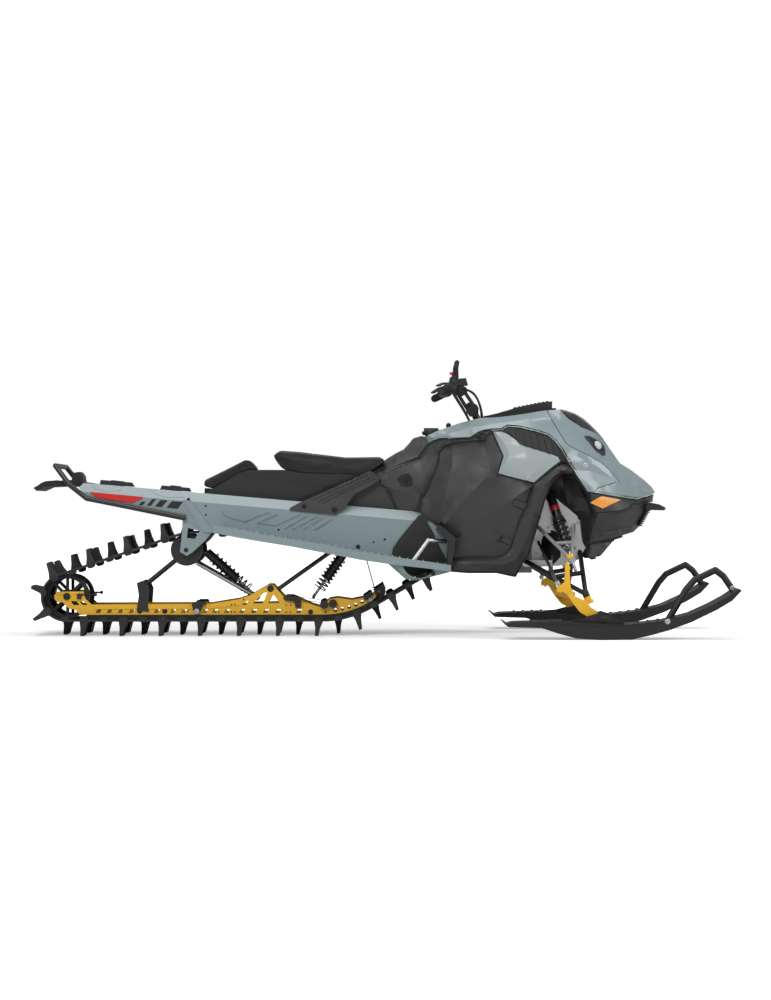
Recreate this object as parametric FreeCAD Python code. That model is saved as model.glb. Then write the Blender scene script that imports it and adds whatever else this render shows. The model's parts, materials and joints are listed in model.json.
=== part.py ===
import FreeCAD, Part
import math
import os

# A mountain snowmobile: one long lugged track under a tunnel, a tall narrow body and two steered skis.
# Millimetres. +X forward, +Z up, Y = 0 on the machine's middle plane, ground at Z = 0.

Vector = FreeCAD.Vector

# The photograph's camera: a point of it is a pixel, and its place follows from how near the camera it lies
CAMERA_DISTANCE = 10900.0
CAMERA_X = -140.0
CAMERA_HEIGHT = 602.0
FOCAL_PIXELS = 2329.0
CENTRE_PIXELS = (348.0, 505.0)

# Sizes that several pieces share
SHEET = 3.0
WALL = 5.0
FIT_GAP = 0.4
MOVE_GAP = 8.0
OVERRUN = 400.0
TINY = 1.0
FULL_TURN = 360.0

# Track
TRACK_WIDTH = 406.0
TRACK_PITCH = 88.9
BELT_THICKNESS = 8.0
LUG_HEIGHT = 66.0
LUG_BASE = 40.0
LUG_WAIST = 25.0
LUG_WAIST_SHARE = 0.4
LUG_TIP = 15.0
LUG_LEAN = 9.0
CENTRE_LUG_WIDTH = 150.0
LUG_PHASE = 20.0

# Wheels in the track
REAR_WHEEL_RADIUS = 104.0
REAR_WHEEL_X = -1437.0
WHEEL_WIDTH = 26.0
CARRIER_RADIUS = 76.0
CARRIER_X = -882.0
CARRIER_Z = 395.0
CARRIER_Y = 172.0
SPROCKET_RADIUS = 98.0
SPROCKET_X = 178.0
SPROCKET_Z = 369.0
SPROCKET_WIDTH = 30.0
SPROCKET_Y = 70.0
RAIL_BEND_RADIUS = 450.0
RAIL_BEND_X = -256.0
RAIL_Y = 122.0
RAIL_THICKNESS = 12.0
SHOE_HEIGHT = 21.0
SHOE_WIDTH = 30.0
AXLE_RADIUS = 11.0
AXLE_END = 6.0
SHOE_LIFT = 0.5

# Tunnel and running boards
TUNNEL_HALF = 220.0
TUNNEL_TOP_HALF = 178.0
TUNNEL_BEVEL = 42.0
BOARD_HALF = 366.0
BOARD_LIP = 14.0
BOARD_SHEET = 6.0
BUMPER_TUBE = 12.0

# Bodywork
BODY_X = 9.0
BODY_Z = 280.0
BODY_LENGTH = 1300.0
BODY_HEIGHT = 800.0
BODY_HALF = 320.0
RAIL_RISE = 8.0
GRILLE_SINK = 3.0

# Skis and front suspension
SKI_Y = 465.0
SKI_WIDTH = 172.0
SKI_SHELL = 16.0
LOOP_TUBE = 15.0
SPINDLE_WIDTH = 26.0
ARM_TUBE = 11.0
LINK_TUBE = 8.0
ROD_TUBE = 7.0
SHOCK_RADIUS = 21.0
SPRING_RADIUS = 28.0
SPRING_WIRE = 4.0
SPRING_TURNS = 5

# Steering
BAR_HALF = 385.0
BAR_TUBE = 11.0
GRIP_RADIUS = 17.0
GRIP_LENGTH = 125.0
COLUMN_RADIUS = 16.0

TRACK_HALF = TRACK_WIDTH / 2
WHEEL_BOTTOM = LUG_HEIGHT + BELT_THICKNESS


def place(pixel, y):
    """The point of the side plane at y that the photograph shows at this pixel."""
    scale = (CAMERA_DISTANCE + y) / FOCAL_PIXELS
    x = CAMERA_X + (pixel[0] - CENTRE_PIXELS[0]) * scale
    z = CAMERA_HEIGHT + (CENTRE_PIXELS[1] - pixel[1]) * scale
    return Vector(x, y, z)


def prism(points, y_from, y_to):
    """A side outline of (x, z) points, drawn across the machine."""
    corners = [Vector(x, y_from, z) for x, z in points]
    face = Part.Face(Part.makePolygon(corners + corners[:1]))
    return face.extrude(Vector(0, y_to - y_from, 0))


def slab(pixels, y_near, y_far):
    """A side outline of pixels seen at depth y_near, drawn to y_far."""
    points = [place(pixel, y_near) for pixel in pixels]
    return prism([(point.x, point.z) for point in points], y_near, y_far)


def mirror(shape):
    return shape.mirror(Vector(0, 0, 0), Vector(0, 1, 0))


def pair(shape):
    return Part.makeCompound([shape, mirror(shape)])


def fuse(*shapes):
    whole = shapes[0]
    for shape in shapes[1:]:
        whole = whole.fuse(shape)
    return whole.removeSplitter()


def bar(start, end, radius):
    return Part.makeCylinder(radius, (end - start).Length, start, end - start)


def pipe(points, radius):
    """A round tube through points, with a ball at each bend."""
    pieces = [bar(a, b, radius) for a, b in zip(points, points[1:])]
    pieces += [Part.makeSphere(radius, point) for point in points[1:-1]]
    return fuse(*pieces)


def disc(centre, radius, width):
    """A disc across the machine, centred on its point."""
    return Part.makeCylinder(radius, width, centre - Vector(0, width / 2, 0), Vector(0, 1, 0))


def under_belt(radius):
    """The wheel that just touches the belt's straight steps on this bend."""
    return radius * math.cos(LUG_BASE / 2 / radius) - FIT_GAP


def ring(centre, radius, bore, width):
    return disc(centre, radius, width).cut(disc(centre, bore, width))


def box(x_range, y_range, z_range):
    size = [high - low for low, high in (x_range, y_range, z_range)]
    return Part.makeBox(*size, Vector(x_range[0], y_range[0], z_range[0]))


# Track

TRACK_WHEELS = [
    (REAR_WHEEL_X, WHEEL_BOTTOM + REAR_WHEEL_RADIUS, REAR_WHEEL_RADIUS),
    (RAIL_BEND_X, WHEEL_BOTTOM + RAIL_BEND_RADIUS, RAIL_BEND_RADIUS),
    (SPROCKET_X, SPROCKET_Z, SPROCKET_RADIUS),
    (CARRIER_X, CARRIER_Z, CARRIER_RADIUS),
]


def belt_path():
    """The belt's inner line as arcs: (centre x, z, radius, first and last angle), anticlockwise from below."""
    turns = []
    for (x0, z0, r0), (x1, z1, r1) in zip(TRACK_WHEELS, TRACK_WHEELS[1:] + TRACK_WHEELS[:1]):
        span = math.hypot(x1 - x0, z1 - z0)
        turns.append(math.atan2(z1 - z0, x1 - x0) - math.acos((r0 - r1) / span))
    arcs = []
    for index, (x, z, radius) in enumerate(TRACK_WHEELS):
        first = turns[index - 1]
        last = turns[index]
        while last < first:
            last += 2 * math.pi
        arcs.append((x, z, radius, first, last))
    return arcs


def belt_pieces():
    """The belt's stretches in order: each with its length and a function from distance to point and normal."""
    arcs = belt_path()
    stretches = []
    for index, (x, z, radius, first, last) in enumerate(arcs):
        if radius > 0:
            stretches.append(("arc", radius * (last - first), (x, z, radius, first)))
        nx, nz, nr, n_first, n_last = arcs[(index + 1) % len(arcs)]
        start = (x + radius * math.cos(last), z + radius * math.sin(last))
        end = (nx + nr * math.cos(last), nz + nr * math.sin(last))
        stretches.append(("line", math.dist(start, end), (start, end, last)))
    return stretches


BELT = belt_pieces()
BELT_LENGTH = sum(length for kind, length, data in BELT)
BAR_COUNT = 2 * round(BELT_LENGTH / TRACK_PITCH / 2)
BAR_STEP = BELT_LENGTH / BAR_COUNT


def belt_point(distance, height):
    """The point this far along the belt's inner line and this far outside it."""
    distance = distance % BELT_LENGTH
    for kind, length, data in BELT:
        if distance <= length:
            break
        distance -= length
    if kind == "arc":
        x, z, radius, first = data
        angle = first + distance / radius
        return (x + (radius + height) * math.cos(angle), z + (radius + height) * math.sin(angle))
    start, end, angle = data
    part = distance / length
    x = start[0] + (end[0] - start[0]) * part + height * math.cos(angle)
    z = start[1] + (end[1] - start[1]) * part + height * math.sin(angle)
    return (x, z)


LUG_PROFILE = [
    (LUG_WAIST_SHARE, -LUG_WAIST / 2 - LUG_LEAN * LUG_WAIST_SHARE),
    (1.0, -LUG_TIP / 2 - LUG_LEAN),
    (1.0, LUG_TIP / 2 - LUG_LEAN),
    (LUG_WAIST_SHARE, LUG_WAIST / 2 - LUG_LEAN * LUG_WAIST_SHARE),
]


def belt_slab(y_from, y_to, odd):
    """One lane of the track: the belt with a lug on every second bar."""
    outer = []
    inner = []
    for bar_index in range(BAR_COUNT):
        middle = LUG_PHASE + bar_index * BAR_STEP
        for side in (-1, 1):
            outer.append(belt_point(middle + side * LUG_BASE / 2, BELT_THICKNESS))
            inner.append(belt_point(middle + side * LUG_BASE / 2, 0))
            if side < 0 and bar_index % 2 == odd:
                base = belt_point(middle, BELT_THICKNESS)
                top = belt_point(middle, BELT_THICKNESS + LUG_HEIGHT)
                up = ((top[0] - base[0]) / LUG_HEIGHT, (top[1] - base[1]) / LUG_HEIGHT)
                for rise, edge in LUG_PROFILE:
                    x = base[0] + up[0] * LUG_HEIGHT * rise - up[1] * edge
                    outer.append((x, base[1] + up[1] * LUG_HEIGHT * rise + up[0] * edge))
        gap_middle = middle + BAR_STEP / 2
        outer.append(belt_point(gap_middle, BELT_THICKNESS))
        inner.append(belt_point(gap_middle, 0))
    return prism(outer, y_from, y_to).cut(prism(inner, y_from - TINY, y_to + TINY))


def track():
    half = CENTRE_LUG_WIDTH / 2
    return fuse(belt_slab(-TRACK_HALF, -half, 0), belt_slab(-half, half, 1), belt_slab(half, TRACK_HALF, 0))


# Sliding frame inside the track

REAR_AXLE = Vector(REAR_WHEEL_X, 0, WHEEL_BOTTOM + REAR_WHEEL_RADIUS)
CARRIER_AXLE = Vector(CARRIER_X, 0, CARRIER_Z)
SPROCKET_AXLE = Vector(SPROCKET_X, 0, SPROCKET_Z)
RAIL_NEAR = RAIL_Y + RAIL_THICKNESS / 2
RAIL_TOP_PIXELS = [
    (376, 597), (381, 591), (377, 590), (372, 596), (352, 600), (338, 598), (330, 599), (320, 607), (313, 605),
    (301, 600), (284, 597), (273, 585), (268, 585), (250, 595.5), (238, 599.5), (210, 604), (92, 604.5),
    (86, 599), (84, 591.5), (58, 591.5), (55, 595), (55, 599), (58, 602), (63, 602), (70, 609), (75, 609), (81, 615),
]
RAIL_WINDOW_PIXELS = [
    [(252.5, 603.5), (264, 593), (267, 592.5), (263, 603.5)],
    [(268, 603.5), (273, 594), (279.5, 603)],
    [(241, 605), (248.5, 600.5), (246, 605)],
    [(71, 601), (77, 601), (80, 605), (74, 605)],
    [(80, 601.5), (85, 601.5), (88, 605), (83, 605)],
]
RAIL_SLOT_PIXELS = [(59, 594.5), (81, 594.5), (81, 598.5), (59, 598.5)]
RAIL_HOLE_PIXELS = [96, 107, 118, 129, 154, 170, 181, 202, 212, 224, 239, 251, 263, 275, 296]
RAIL_HOLE_WIDTH = 28.0
RAIL_HOLE_HEIGHT = 17.0
RAIL_HOLE_RISE = 8.0
RAIL_HOLE_SLANT = 8.0
BEND_HOLE_ANGLES = [math.radians(angle) for angle in (-82, -77.5, -73, -68.5, -64)]
BEND_HOLE_RADIUS = 8.5
FLANGE_PIXELS = [(95, 605), (205, 605), (238, 601.5), (240, 605.5), (205, 609), (95, 609)]
FLANGE_RISE = 3.0
RAIL_REAR_PIXEL = (87, 615)
SHOE_REAR_PIXEL = (87, 617)
RAIL_LOW_ANGLE = math.radians(-90)
RAIL_FRONT_ANGLE = math.radians(-57)
BEND_STEPS = 8
CROSS_HALF = RAIL_Y - RAIL_THICKNESS / 2


def bend_place(inset, angle):
    """The point of the rail's front bend at this angle, this far inside the belt's line."""
    radius = RAIL_BEND_RADIUS - inset
    return (RAIL_BEND_X + radius * math.cos(angle), WHEEL_BOTTOM + RAIL_BEND_RADIUS + radius * math.sin(angle))


def bend_points(inset, first, last):
    return [bend_place(inset, first + (last - first) * step / BEND_STEPS) for step in range(BEND_STEPS + 1)]


def skid_rail():
    rear = place(RAIL_REAR_PIXEL, -RAIL_NEAR)
    bottom = [(rear.x, WHEEL_BOTTOM + SHOE_HEIGHT)]
    bottom += bend_points(SHOE_HEIGHT, RAIL_LOW_ANGLE, RAIL_FRONT_ANGLE)
    top = [place(pixel, -RAIL_NEAR) for pixel in RAIL_TOP_PIXELS]
    rail = prism(bottom + [(p.x, p.z) for p in top], -RAIL_NEAR, -CROSS_HALF)
    for window in RAIL_WINDOW_PIXELS:
        rail = rail.cut(slab(window, -RAIL_NEAR - TINY, -CROSS_HALF + TINY))
    rail = rail.cut(slab(RAIL_SLOT_PIXELS, -RAIL_NEAR - TINY, -RAIL_NEAR + FLANGE_RISE))
    for pixel in RAIL_HOLE_PIXELS:
        rail = rail.cut(rail_hole(place((pixel, 0), -RAIL_NEAR).x))
    for x, z in [bend_place(SHOE_HEIGHT + RAIL_HOLE_RISE * 2, angle) for angle in BEND_HOLE_ANGLES]:
        rail = rail.cut(disc(Vector(x, -RAIL_Y, z), BEND_HOLE_RADIUS, RAIL_THICKNESS + TINY))
    rail = rail.fuse(slab(FLANGE_PIXELS, -RAIL_NEAR - FLANGE_RISE, -RAIL_NEAR)).removeSplitter()
    return rail.cut(disc(REAR_AXLE, AXLE_RADIUS, OVERRUN))


def rail_hole(x):
    """A slanted window through the rail's web."""
    low = WHEEL_BOTTOM + SHOE_HEIGHT + RAIL_HOLE_RISE
    high = low + RAIL_HOLE_HEIGHT
    right = x + RAIL_HOLE_WIDTH
    points = [(x, low), (right - RAIL_HOLE_SLANT, low), (right, high), (x + RAIL_HOLE_SLANT, high)]
    return prism(points, -RAIL_NEAR - TINY, -CROSS_HALF + TINY)


def slide_shoe():
    rear = place(SHOE_REAR_PIXEL, -RAIL_NEAR)
    outline = [(rear.x, WHEEL_BOTTOM + SHOE_LIFT)] + bend_points(SHOE_LIFT, RAIL_LOW_ANGLE, RAIL_FRONT_ANGLE)
    outline += bend_points(SHOE_HEIGHT, RAIL_FRONT_ANGLE, RAIL_LOW_ANGLE)
    outline += [(rear.x, WHEEL_BOTTOM + SHOE_HEIGHT)]
    return prism(outline, -RAIL_Y - SHOE_WIDTH / 2, -RAIL_Y + SHOE_WIDTH / 2)


WHEEL_RIM = 18.0
WHEEL_HUB = 26.0
WHEEL_WEB = 10.0
WHEEL_STEP = 4.0
SPOKE_COUNT = 8
SPOKE_WIDTH = 14.0
REAR_WHEEL_Y = CROSS_HALF - WHEEL_WIDTH / 2 - FIT_GAP
IDLER_RADIUS = 19.0
IDLER_WIDTH = 18.0
IDLER_PIXELS = [(324, 604.5), (333, 603.5)]


def spoked_wheel(centre, radius, width):
    """A rubber-tyred rim, a hub and spokes with open room between them."""
    wheel = fuse(ring(centre, radius, radius - WHEEL_RIM, width), disc(centre, WHEEL_HUB, width))
    reach = radius - WHEEL_RIM / 2
    for index in range(SPOKE_COUNT):
        spoke = Part.makeBox(reach, WHEEL_WEB, SPOKE_WIDTH, centre - Vector(0, WHEEL_WEB / 2, SPOKE_WIDTH / 2))
        spoke.rotate(centre, Vector(0, 1, 0), FULL_TURN * index / SPOKE_COUNT)
        wheel = wheel.fuse(spoke)
    return wheel.removeSplitter().cut(disc(centre, AXLE_RADIUS, width))


def rear_wheels():
    """Two spoked wheels between the rails, on the axle that the rails carry."""
    near = REAR_AXLE - Vector(0, REAR_WHEEL_Y, 0)
    wheel = spoked_wheel(near, under_belt(REAR_WHEEL_RADIUS), WHEEL_WIDTH)
    return fuse(wheel, mirror(wheel), disc(REAR_AXLE, AXLE_RADIUS, 2 * (RAIL_NEAR + AXLE_END)))


def carrier_wheels():
    """Plain discs with a rim that stands out and a hub."""
    near = CARRIER_AXLE - Vector(0, CARRIER_Y, 0)
    radius = under_belt(CARRIER_RADIUS)
    wheel = disc(near, radius, WHEEL_WIDTH)
    for side in (-1, 1):
        face = near + Vector(0, side * WHEEL_WIDTH / 2, 0)
        wheel = wheel.cut(ring(face, radius - WHEEL_STEP * 2, WHEEL_HUB, WHEEL_STEP))
    return pair(wheel.cut(disc(near, AXLE_RADIUS, WHEEL_WIDTH)))


def drive_sprockets():
    near = disc(SPROCKET_AXLE - Vector(0, SPROCKET_Y, 0), under_belt(SPROCKET_RADIUS), SPROCKET_WIDTH)
    return fuse(near, mirror(near), disc(SPROCKET_AXLE, AXLE_RADIUS + SHEET, 2 * (TUNNEL_HALF - SHEET)))


def idler_wheels():
    """Two small wheels outside each shoe, each on a stub from the rail."""
    wheel_y = RAIL_Y + SHOE_WIDTH / 2 + FIT_GAP
    wheels = []
    for pixel in IDLER_PIXELS:
        centre = place(pixel, -RAIL_NEAR)
        wheel = disc(Vector(centre.x, -wheel_y - IDLER_WIDTH / 2, centre.z), IDLER_RADIUS, IDLER_WIDTH)
        stub = bar(Vector(centre.x, -wheel_y, centre.z), Vector(centre.x, -RAIL_NEAR, centre.z), AXLE_RADIUS)
        wheels.append(pair(fuse(wheel, stub)))
    return Part.makeCompound(wheels)


SKID_ARM_TUBE = 13.0
SKID_SIDE_TUBE = 9.0
SKID_SIDE_Y = 90.0
REAR_ARM_LOW_PIXEL = (142, 587)
REAR_ARM_STAND_PIXELS = [(137, 583), (142, 581), (147, 585), (149, 590), (148, 604), (149, 611), (137, 611), (139, 595)]
STAND_PLATE = 8.0
FRONT_ARM_PIXELS = ((276, 591), (331, 552))
REAR_SHOCK_PIXELS = ((258, 598), (207, 552))
FRONT_SHOCK_PIXELS = ((314, 596), (344, 553))
REAR_LINK_PIXEL = (197, 563)
LINK_Y = 60.0
LINK_ROD = 9.5
LUG_Y = 38.0
PIN_RADIUS = 8.0
SKID_ROD_SHARE = 0.4
SKID_SPRING_SHARES = (0.2, 0.86)
SKID_SPRING_RADIUS = 27.0
SKID_SPRING_WIRE = 3.5
SKID_SPRING_TURNS = 8
COLLAR_HEIGHT = 4.0
SHOCK_ROD = 7.0
DROP_PLATE = 8.0
DROP_Y = TUNNEL_HALF - SHEET - DROP_PLATE
DROP_PIXELS = [(183, 515), (186, 514), (212, 524), (213, 531), (205, 541), (193, 552), (187, 556), (180, 552), (182, 535)]
DROP_HOLE_PIXELS = [(188, 528), (200, 531), (195, 539), (187, 538)]
LIMITER_PIXELS = ((375, 592.5), (364, 553))
LIMITER_WIDTH = 30.0
LIMITER_THICKNESS = 5.0


def skid_arm(low, high):
    """A swing arm: two side tubes between a cross tube in the rails and a cross shaft under the tunnel."""
    near = bar(Vector(low.x, -SKID_SIDE_Y, low.z), Vector(high.x, -SKID_SIDE_Y, high.z), SKID_SIDE_TUBE)
    low_cross = bar(low, mirror_point(low), SKID_ARM_TUBE)
    high_start = Vector(high.x, -TUNNEL_HALF + SHEET, high.z)
    high_cross = bar(high_start, mirror_point(high_start), AXLE_RADIUS)
    return fuse(near, mirror(near), low_cross, high_cross)


def rear_skid_arm():
    """The rear arm on the carrier wheels' shaft, with the stands on the rails and the lugs that hold shock and links."""
    low = place(REAR_ARM_LOW_PIXEL, -RAIL_NEAR)
    arm = skid_arm(low, CARRIER_AXLE)
    stand = slab(REAR_ARM_STAND_PIXELS, -RAIL_NEAR - STAND_PLATE, -RAIL_NEAR)
    ends = [(place(REAR_SHOCK_PIXELS[1], 0), LUG_Y), (place(REAR_LINK_PIXEL, -LINK_Y), LINK_Y + LINK_ROD)]
    lugs = [bar(Vector(CARRIER_X, -y, CARRIER_Z), Vector(end.x, -y, end.z), SKID_SIDE_TUBE) for end, y in ends]
    whole = fuse(arm, *lugs, *[mirror(lug) for lug in lugs])
    return Part.makeCompound([whole, stand, mirror(stand)])


def front_skid_arm():
    """The front arm, and the two straps that limit how far the rails' front drops."""
    arm = skid_arm(*[place(pixel, -CROSS_HALF) for pixel in FRONT_ARM_PIXELS])
    low, high = [place(pixel, 0) for pixel in LIMITER_PIXELS]
    across = Vector(0, LIMITER_WIDTH, 0)
    ahead = Vector(LIMITER_THICKNESS, 0, 0)
    strap = Part.makePolygon([low, low + ahead, high + ahead, high, low])
    strap = Part.Face(strap).extrude(across)
    strap.translate(Vector(0, -CROSS_HALF, 0))
    return Part.makeCompound([arm, pair(strap)])


def mirror_point(point):
    return Vector(point.x, -point.y, point.z)


def cross_pin(point, half):
    near = Vector(point.x, -half, point.z)
    return bar(near, mirror_point(near), PIN_RADIUS)


def coil(start, end, radius, wire, turns):
    """A spring wound round the line from start to end."""
    axis = end - start
    helix = Part.makeHelix(axis.Length / turns, axis.Length, radius)
    section = Part.Wire(Part.makeCircle(wire, Vector(radius, 0, 0), Vector(0, 1, 0)))
    spring = Part.Wire(helix).makePipeShell([section], True, True)
    spring.Placement = FreeCAD.Placement(start, FreeCAD.Rotation(Vector(0, 0, 1), axis))
    return spring


def between(start, end, share):
    return start + (end - start) * share


def sprung_shock(low, high, rod_share, spring_shares, outer):
    """A rod, a body and the two collars that hold a spring."""
    middle = between(low, high, rod_share)
    way = (high - low).normalize() * COLLAR_HEIGHT
    first, last = [between(low, high, share) for share in spring_shares]
    collars = [bar(first - way, first, outer), bar(last, last + way, outer)]
    return fuse(bar(low, middle, SHOCK_ROD), bar(middle, high, SHOCK_RADIUS), *collars)


def spring(low, high, spring_shares, radius, wire, turns):
    """The coil that just clears the two collars."""
    first, last = [between(low, high, share) for share in spring_shares]
    inset = (high - low).normalize() * (wire + FIT_GAP)
    return coil(first + inset, last - inset, radius, wire, turns)


def skid_shock(pixels, high_half):
    """A shock on the middle plane and its spring, with the pins that carry it in the rails and at its top."""
    low, high = [place(pixel, 0) for pixel in pixels]
    shock = sprung_shock(low, high, SKID_ROD_SHARE, SKID_SPRING_SHARES, SKID_SPRING_RADIUS + SKID_SPRING_WIRE)
    shock = fuse(shock, cross_pin(low, CROSS_HALF), cross_pin(high, high_half))
    return shock, spring(low, high, SKID_SPRING_SHARES, SKID_SPRING_RADIUS, SKID_SPRING_WIRE, SKID_SPRING_TURNS)


def skid_links():
    """The two plain links beside the rear shock."""
    low = place(REAR_SHOCK_PIXELS[0], -LINK_Y)
    high = place(REAR_LINK_PIXEL, -LINK_Y)
    near = bar(low, high, LINK_ROD)
    return fuse(near, mirror(near))


def skid_shocks():
    rear, rear_spring = skid_shock(REAR_SHOCK_PIXELS, LUG_Y)
    front, front_coil = skid_shock(FRONT_SHOCK_PIXELS, DROP_Y + DROP_PLATE)
    return Part.makeCompound([fuse(rear, *skid_links().Solids), rear_spring, front, front_coil])


def drop_brackets():
    near = slab(DROP_PIXELS, -DROP_Y - DROP_PLATE, -DROP_Y)
    hole = slab(DROP_HOLE_PIXELS, -DROP_Y - DROP_PLATE - TINY, -DROP_Y + TINY)
    return pair(near.cut(hole))


# Tunnel

TUNNEL_TOP_PIXELS = ((83, 483), (420, 512))
TUNNEL_SIDE_PIXELS = [
    (79, 487.5), (83, 483), (420, 470), (462, 470), (462, 573), (451, 572), (213, 533), (204, 532), (190, 522),
    (87, 501), (86, 497),
]
TUNNEL_DEPTH = 420.0


def tunnel_section(inset, x_inset):
    """The tunnel's cross-section, drawn along its slope and open below."""
    rear, front = [place(pixel, -TUNNEL_HALF) for pixel in TUNNEL_TOP_PIXELS]
    rear = Vector(rear.x, 0, rear.z)
    front = Vector(front.x, 0, front.z)
    along = front - rear
    start = rear - along
    half = TUNNEL_HALF - inset
    top_half = TUNNEL_TOP_HALF - inset * 0.4
    z = start.z - inset
    points = [(-half, z - TUNNEL_DEPTH), (-half, z - TUNNEL_BEVEL), (-top_half, z), (top_half, z),
              (half, z - TUNNEL_BEVEL), (half, z - TUNNEL_DEPTH)]
    corners = [Vector(start.x, y, height) for y, height in points]
    face = Part.Face(Part.makePolygon(corners + corners[:1]))
    return face.extrude(along * 3)


def tunnel():
    side = slab(TUNNEL_SIDE_PIXELS, -TUNNEL_HALF, TUNNEL_HALF)
    shell = tunnel_section(0, 0).cut(tunnel_section(SHEET, 0))
    return fuse(shell.common(side), *[rib for ends in RIB_PIXELS for rib in tunnel_rib(*ends).Solids])


# Running boards

BOARD_TOP_PIXELS = [
    (213, 525), (230, 528), (250, 532), (290, 539.5), (320, 544), (350, 550), (380, 555), (400, 558), (430, 562),
    (451, 565.5),
]
BOARD_LOW_PIXELS = [(451, 572), (430, 569), (387, 564), (360, 560), (340, 556), (290, 546.5), (250, 540), (213, 533)]
BOARD_STRAP_PIXELS = [(183, 500.5), (190, 498.5), (193, 504), (203, 517), (213, 531), (213, 533), (204, 532), (197, 522)]
BOARD_BRACKET_PIXELS = [(386, 562.3), (430, 567.6), (451, 570.2), (451, 572), (420, 580), (412, 580.5), (405, 579)]
BRACKET_HOLE_PIXEL = (419, 561)
BRACKET_HOLE_RADIUS = 78.0
STRAP_THICKNESS = 6.0
TOOTH_STEP = 36.0
TOOTH_WIDTH = 12.0
TOOTH_HEIGHT = 7.0
BOARD_SLOT_STEP = 95.0
BOARD_SLOT = (55.0, 76.0)
RIB_PIXELS = [
    ((245, 522), (256, 515)), ((256, 527), (271, 515)), ((290, 525), (302, 515)), ((294, 530), (312, 516.5)),
    ((304, 530), (321.5, 518)), ((312, 530), (331, 519)),
]
RIB_WIDTH = 14.0
RIB_RISE = 2.5


def running_board():
    """A plate with foot holes, a toothed lip along its outer edge and a gusset below its front."""
    lip = slab(BOARD_TOP_PIXELS + BOARD_LOW_PIXELS, -BOARD_HALF, -BOARD_HALF + BOARD_LIP)
    line = [place(pixel, -BOARD_HALF) for pixel in BOARD_LOW_PIXELS]
    plate_points = [(p.x, p.z) for p in line] + [(p.x, p.z + BOARD_SHEET) for p in reversed(line)]
    plate = prism(plate_points, -BOARD_HALF + BOARD_LIP, -TUNNEL_HALF)
    front = line[0].x - BOARD_SLOT_STEP * 2
    slot_length, slot_width = BOARD_SLOT
    y = (-BOARD_HALF + BOARD_LIP - TUNNEL_HALF) / 2
    while front - slot_length > line[-1].x + BOARD_SLOT_STEP / 2:
        plate = plate.cut(box((front - slot_length, front), (y - slot_width / 2, y + slot_width / 2), (0, BODY_HEIGHT)))
        front -= BOARD_SLOT_STEP
    gusset = slab(BOARD_BRACKET_PIXELS, -TUNNEL_HALF - STRAP_THICKNESS, -TUNNEL_HALF)
    gusset = gusset.cut(disc(place(BRACKET_HOLE_PIXEL, -TUNNEL_HALF), BRACKET_HOLE_RADIUS, OVERRUN))
    return fuse(lip, plate, gusset, *board_teeth())


def board_teeth():
    """Small pointed teeth along the lip's top edge."""
    line = [place(pixel, -BOARD_HALF) for pixel in BOARD_TOP_PIXELS]
    teeth = []
    for start, end in zip(line, line[1:]):
        for index in range(int((end.x - start.x) / TOOTH_STEP)):
            low = start + (end - start) * ((index + 1) * TOOTH_STEP / (end.x - start.x))
            points = [(low.x - TOOTH_WIDTH, low.z - TOOTH_HEIGHT / 2), (low.x, low.z - TOOTH_HEIGHT / 2),
                      (low.x, low.z + TOOTH_HEIGHT)]
            teeth.append(prism(points, -BOARD_HALF, -BOARD_HALF + BOARD_LIP))
    return teeth


def tunnel_rib(low, high):
    """A slanting rib pressed out of the tunnel's side."""
    start, end = [place(pixel, -TUNNEL_HALF) for pixel in (low, high)]
    points = [(start.x, start.z), (start.x + RIB_WIDTH, start.z), (end.x + RIB_WIDTH, end.z), (end.x, end.z)]
    return pair(prism(points, -TUNNEL_HALF - RIB_RISE, -TUNNEL_HALF))


def board_straps():
    return pair(slab(BOARD_STRAP_PIXELS, -TUNNEL_HALF - STRAP_THICKNESS, -TUNNEL_HALF))


# Rear of the tunnel

BUMPER_Y = TUNNEL_HALF + BUMPER_TUBE
BUMPER_PIXELS = [(186, 518), (130, 507), (87, 498.5), (70, 485)]
BUMPER_LOOP_PIXEL = (56, 466)
BUMPER_LOOP_Y = 205.0
FLAP_PIXELS = [(94, 484), (70, 480), (45, 482), (34, 488), (37, 491), (46, 487), (70, 486), (94, 489)]
FLAP_HALF = 170.0
LAMP_PIXELS = [(72, 482), (73, 473), (80, 472), (83, 476), (84, 483)]
LAMP_HALF = 70.0
CLEAT_PIXELS = [
    [(100, 484.6), (101, 480), (126, 482), (129, 486.6)],
    [(160, 489.6), (162, 485.5), (185, 487.5), (187, 491.6)],
]
CLEAT_WIDTH = 36.0
CLEAT_Y = 164.0
ANCHOR_PIXELS = [114, 173]
ANCHOR_RADIUS = 15.0
ANCHOR_HEIGHT = 24.0
ANCHOR_BORE = 9.0
ANCHOR_ROOM = 12.0
REFLECTOR_PIXELS = [(90, 492), (143, 497), (142, 499), (133, 503), (97, 498)]
REFLECTOR_THICKNESS = 5.0


def rear_bumper():
    side = [place(pixel, -BUMPER_Y) for pixel in BUMPER_PIXELS]
    corner = place(BUMPER_LOOP_PIXEL, -BUMPER_LOOP_Y)
    points = side + [corner, mirror_point(corner)] + [mirror_point(p) for p in reversed(side)]
    return pipe(points, BUMPER_TUBE)


def snow_flap():
    return slab(FLAP_PIXELS, -FLAP_HALF, FLAP_HALF)


def tail_lamp():
    return slab(LAMP_PIXELS, -LAMP_HALF, LAMP_HALF)


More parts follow.
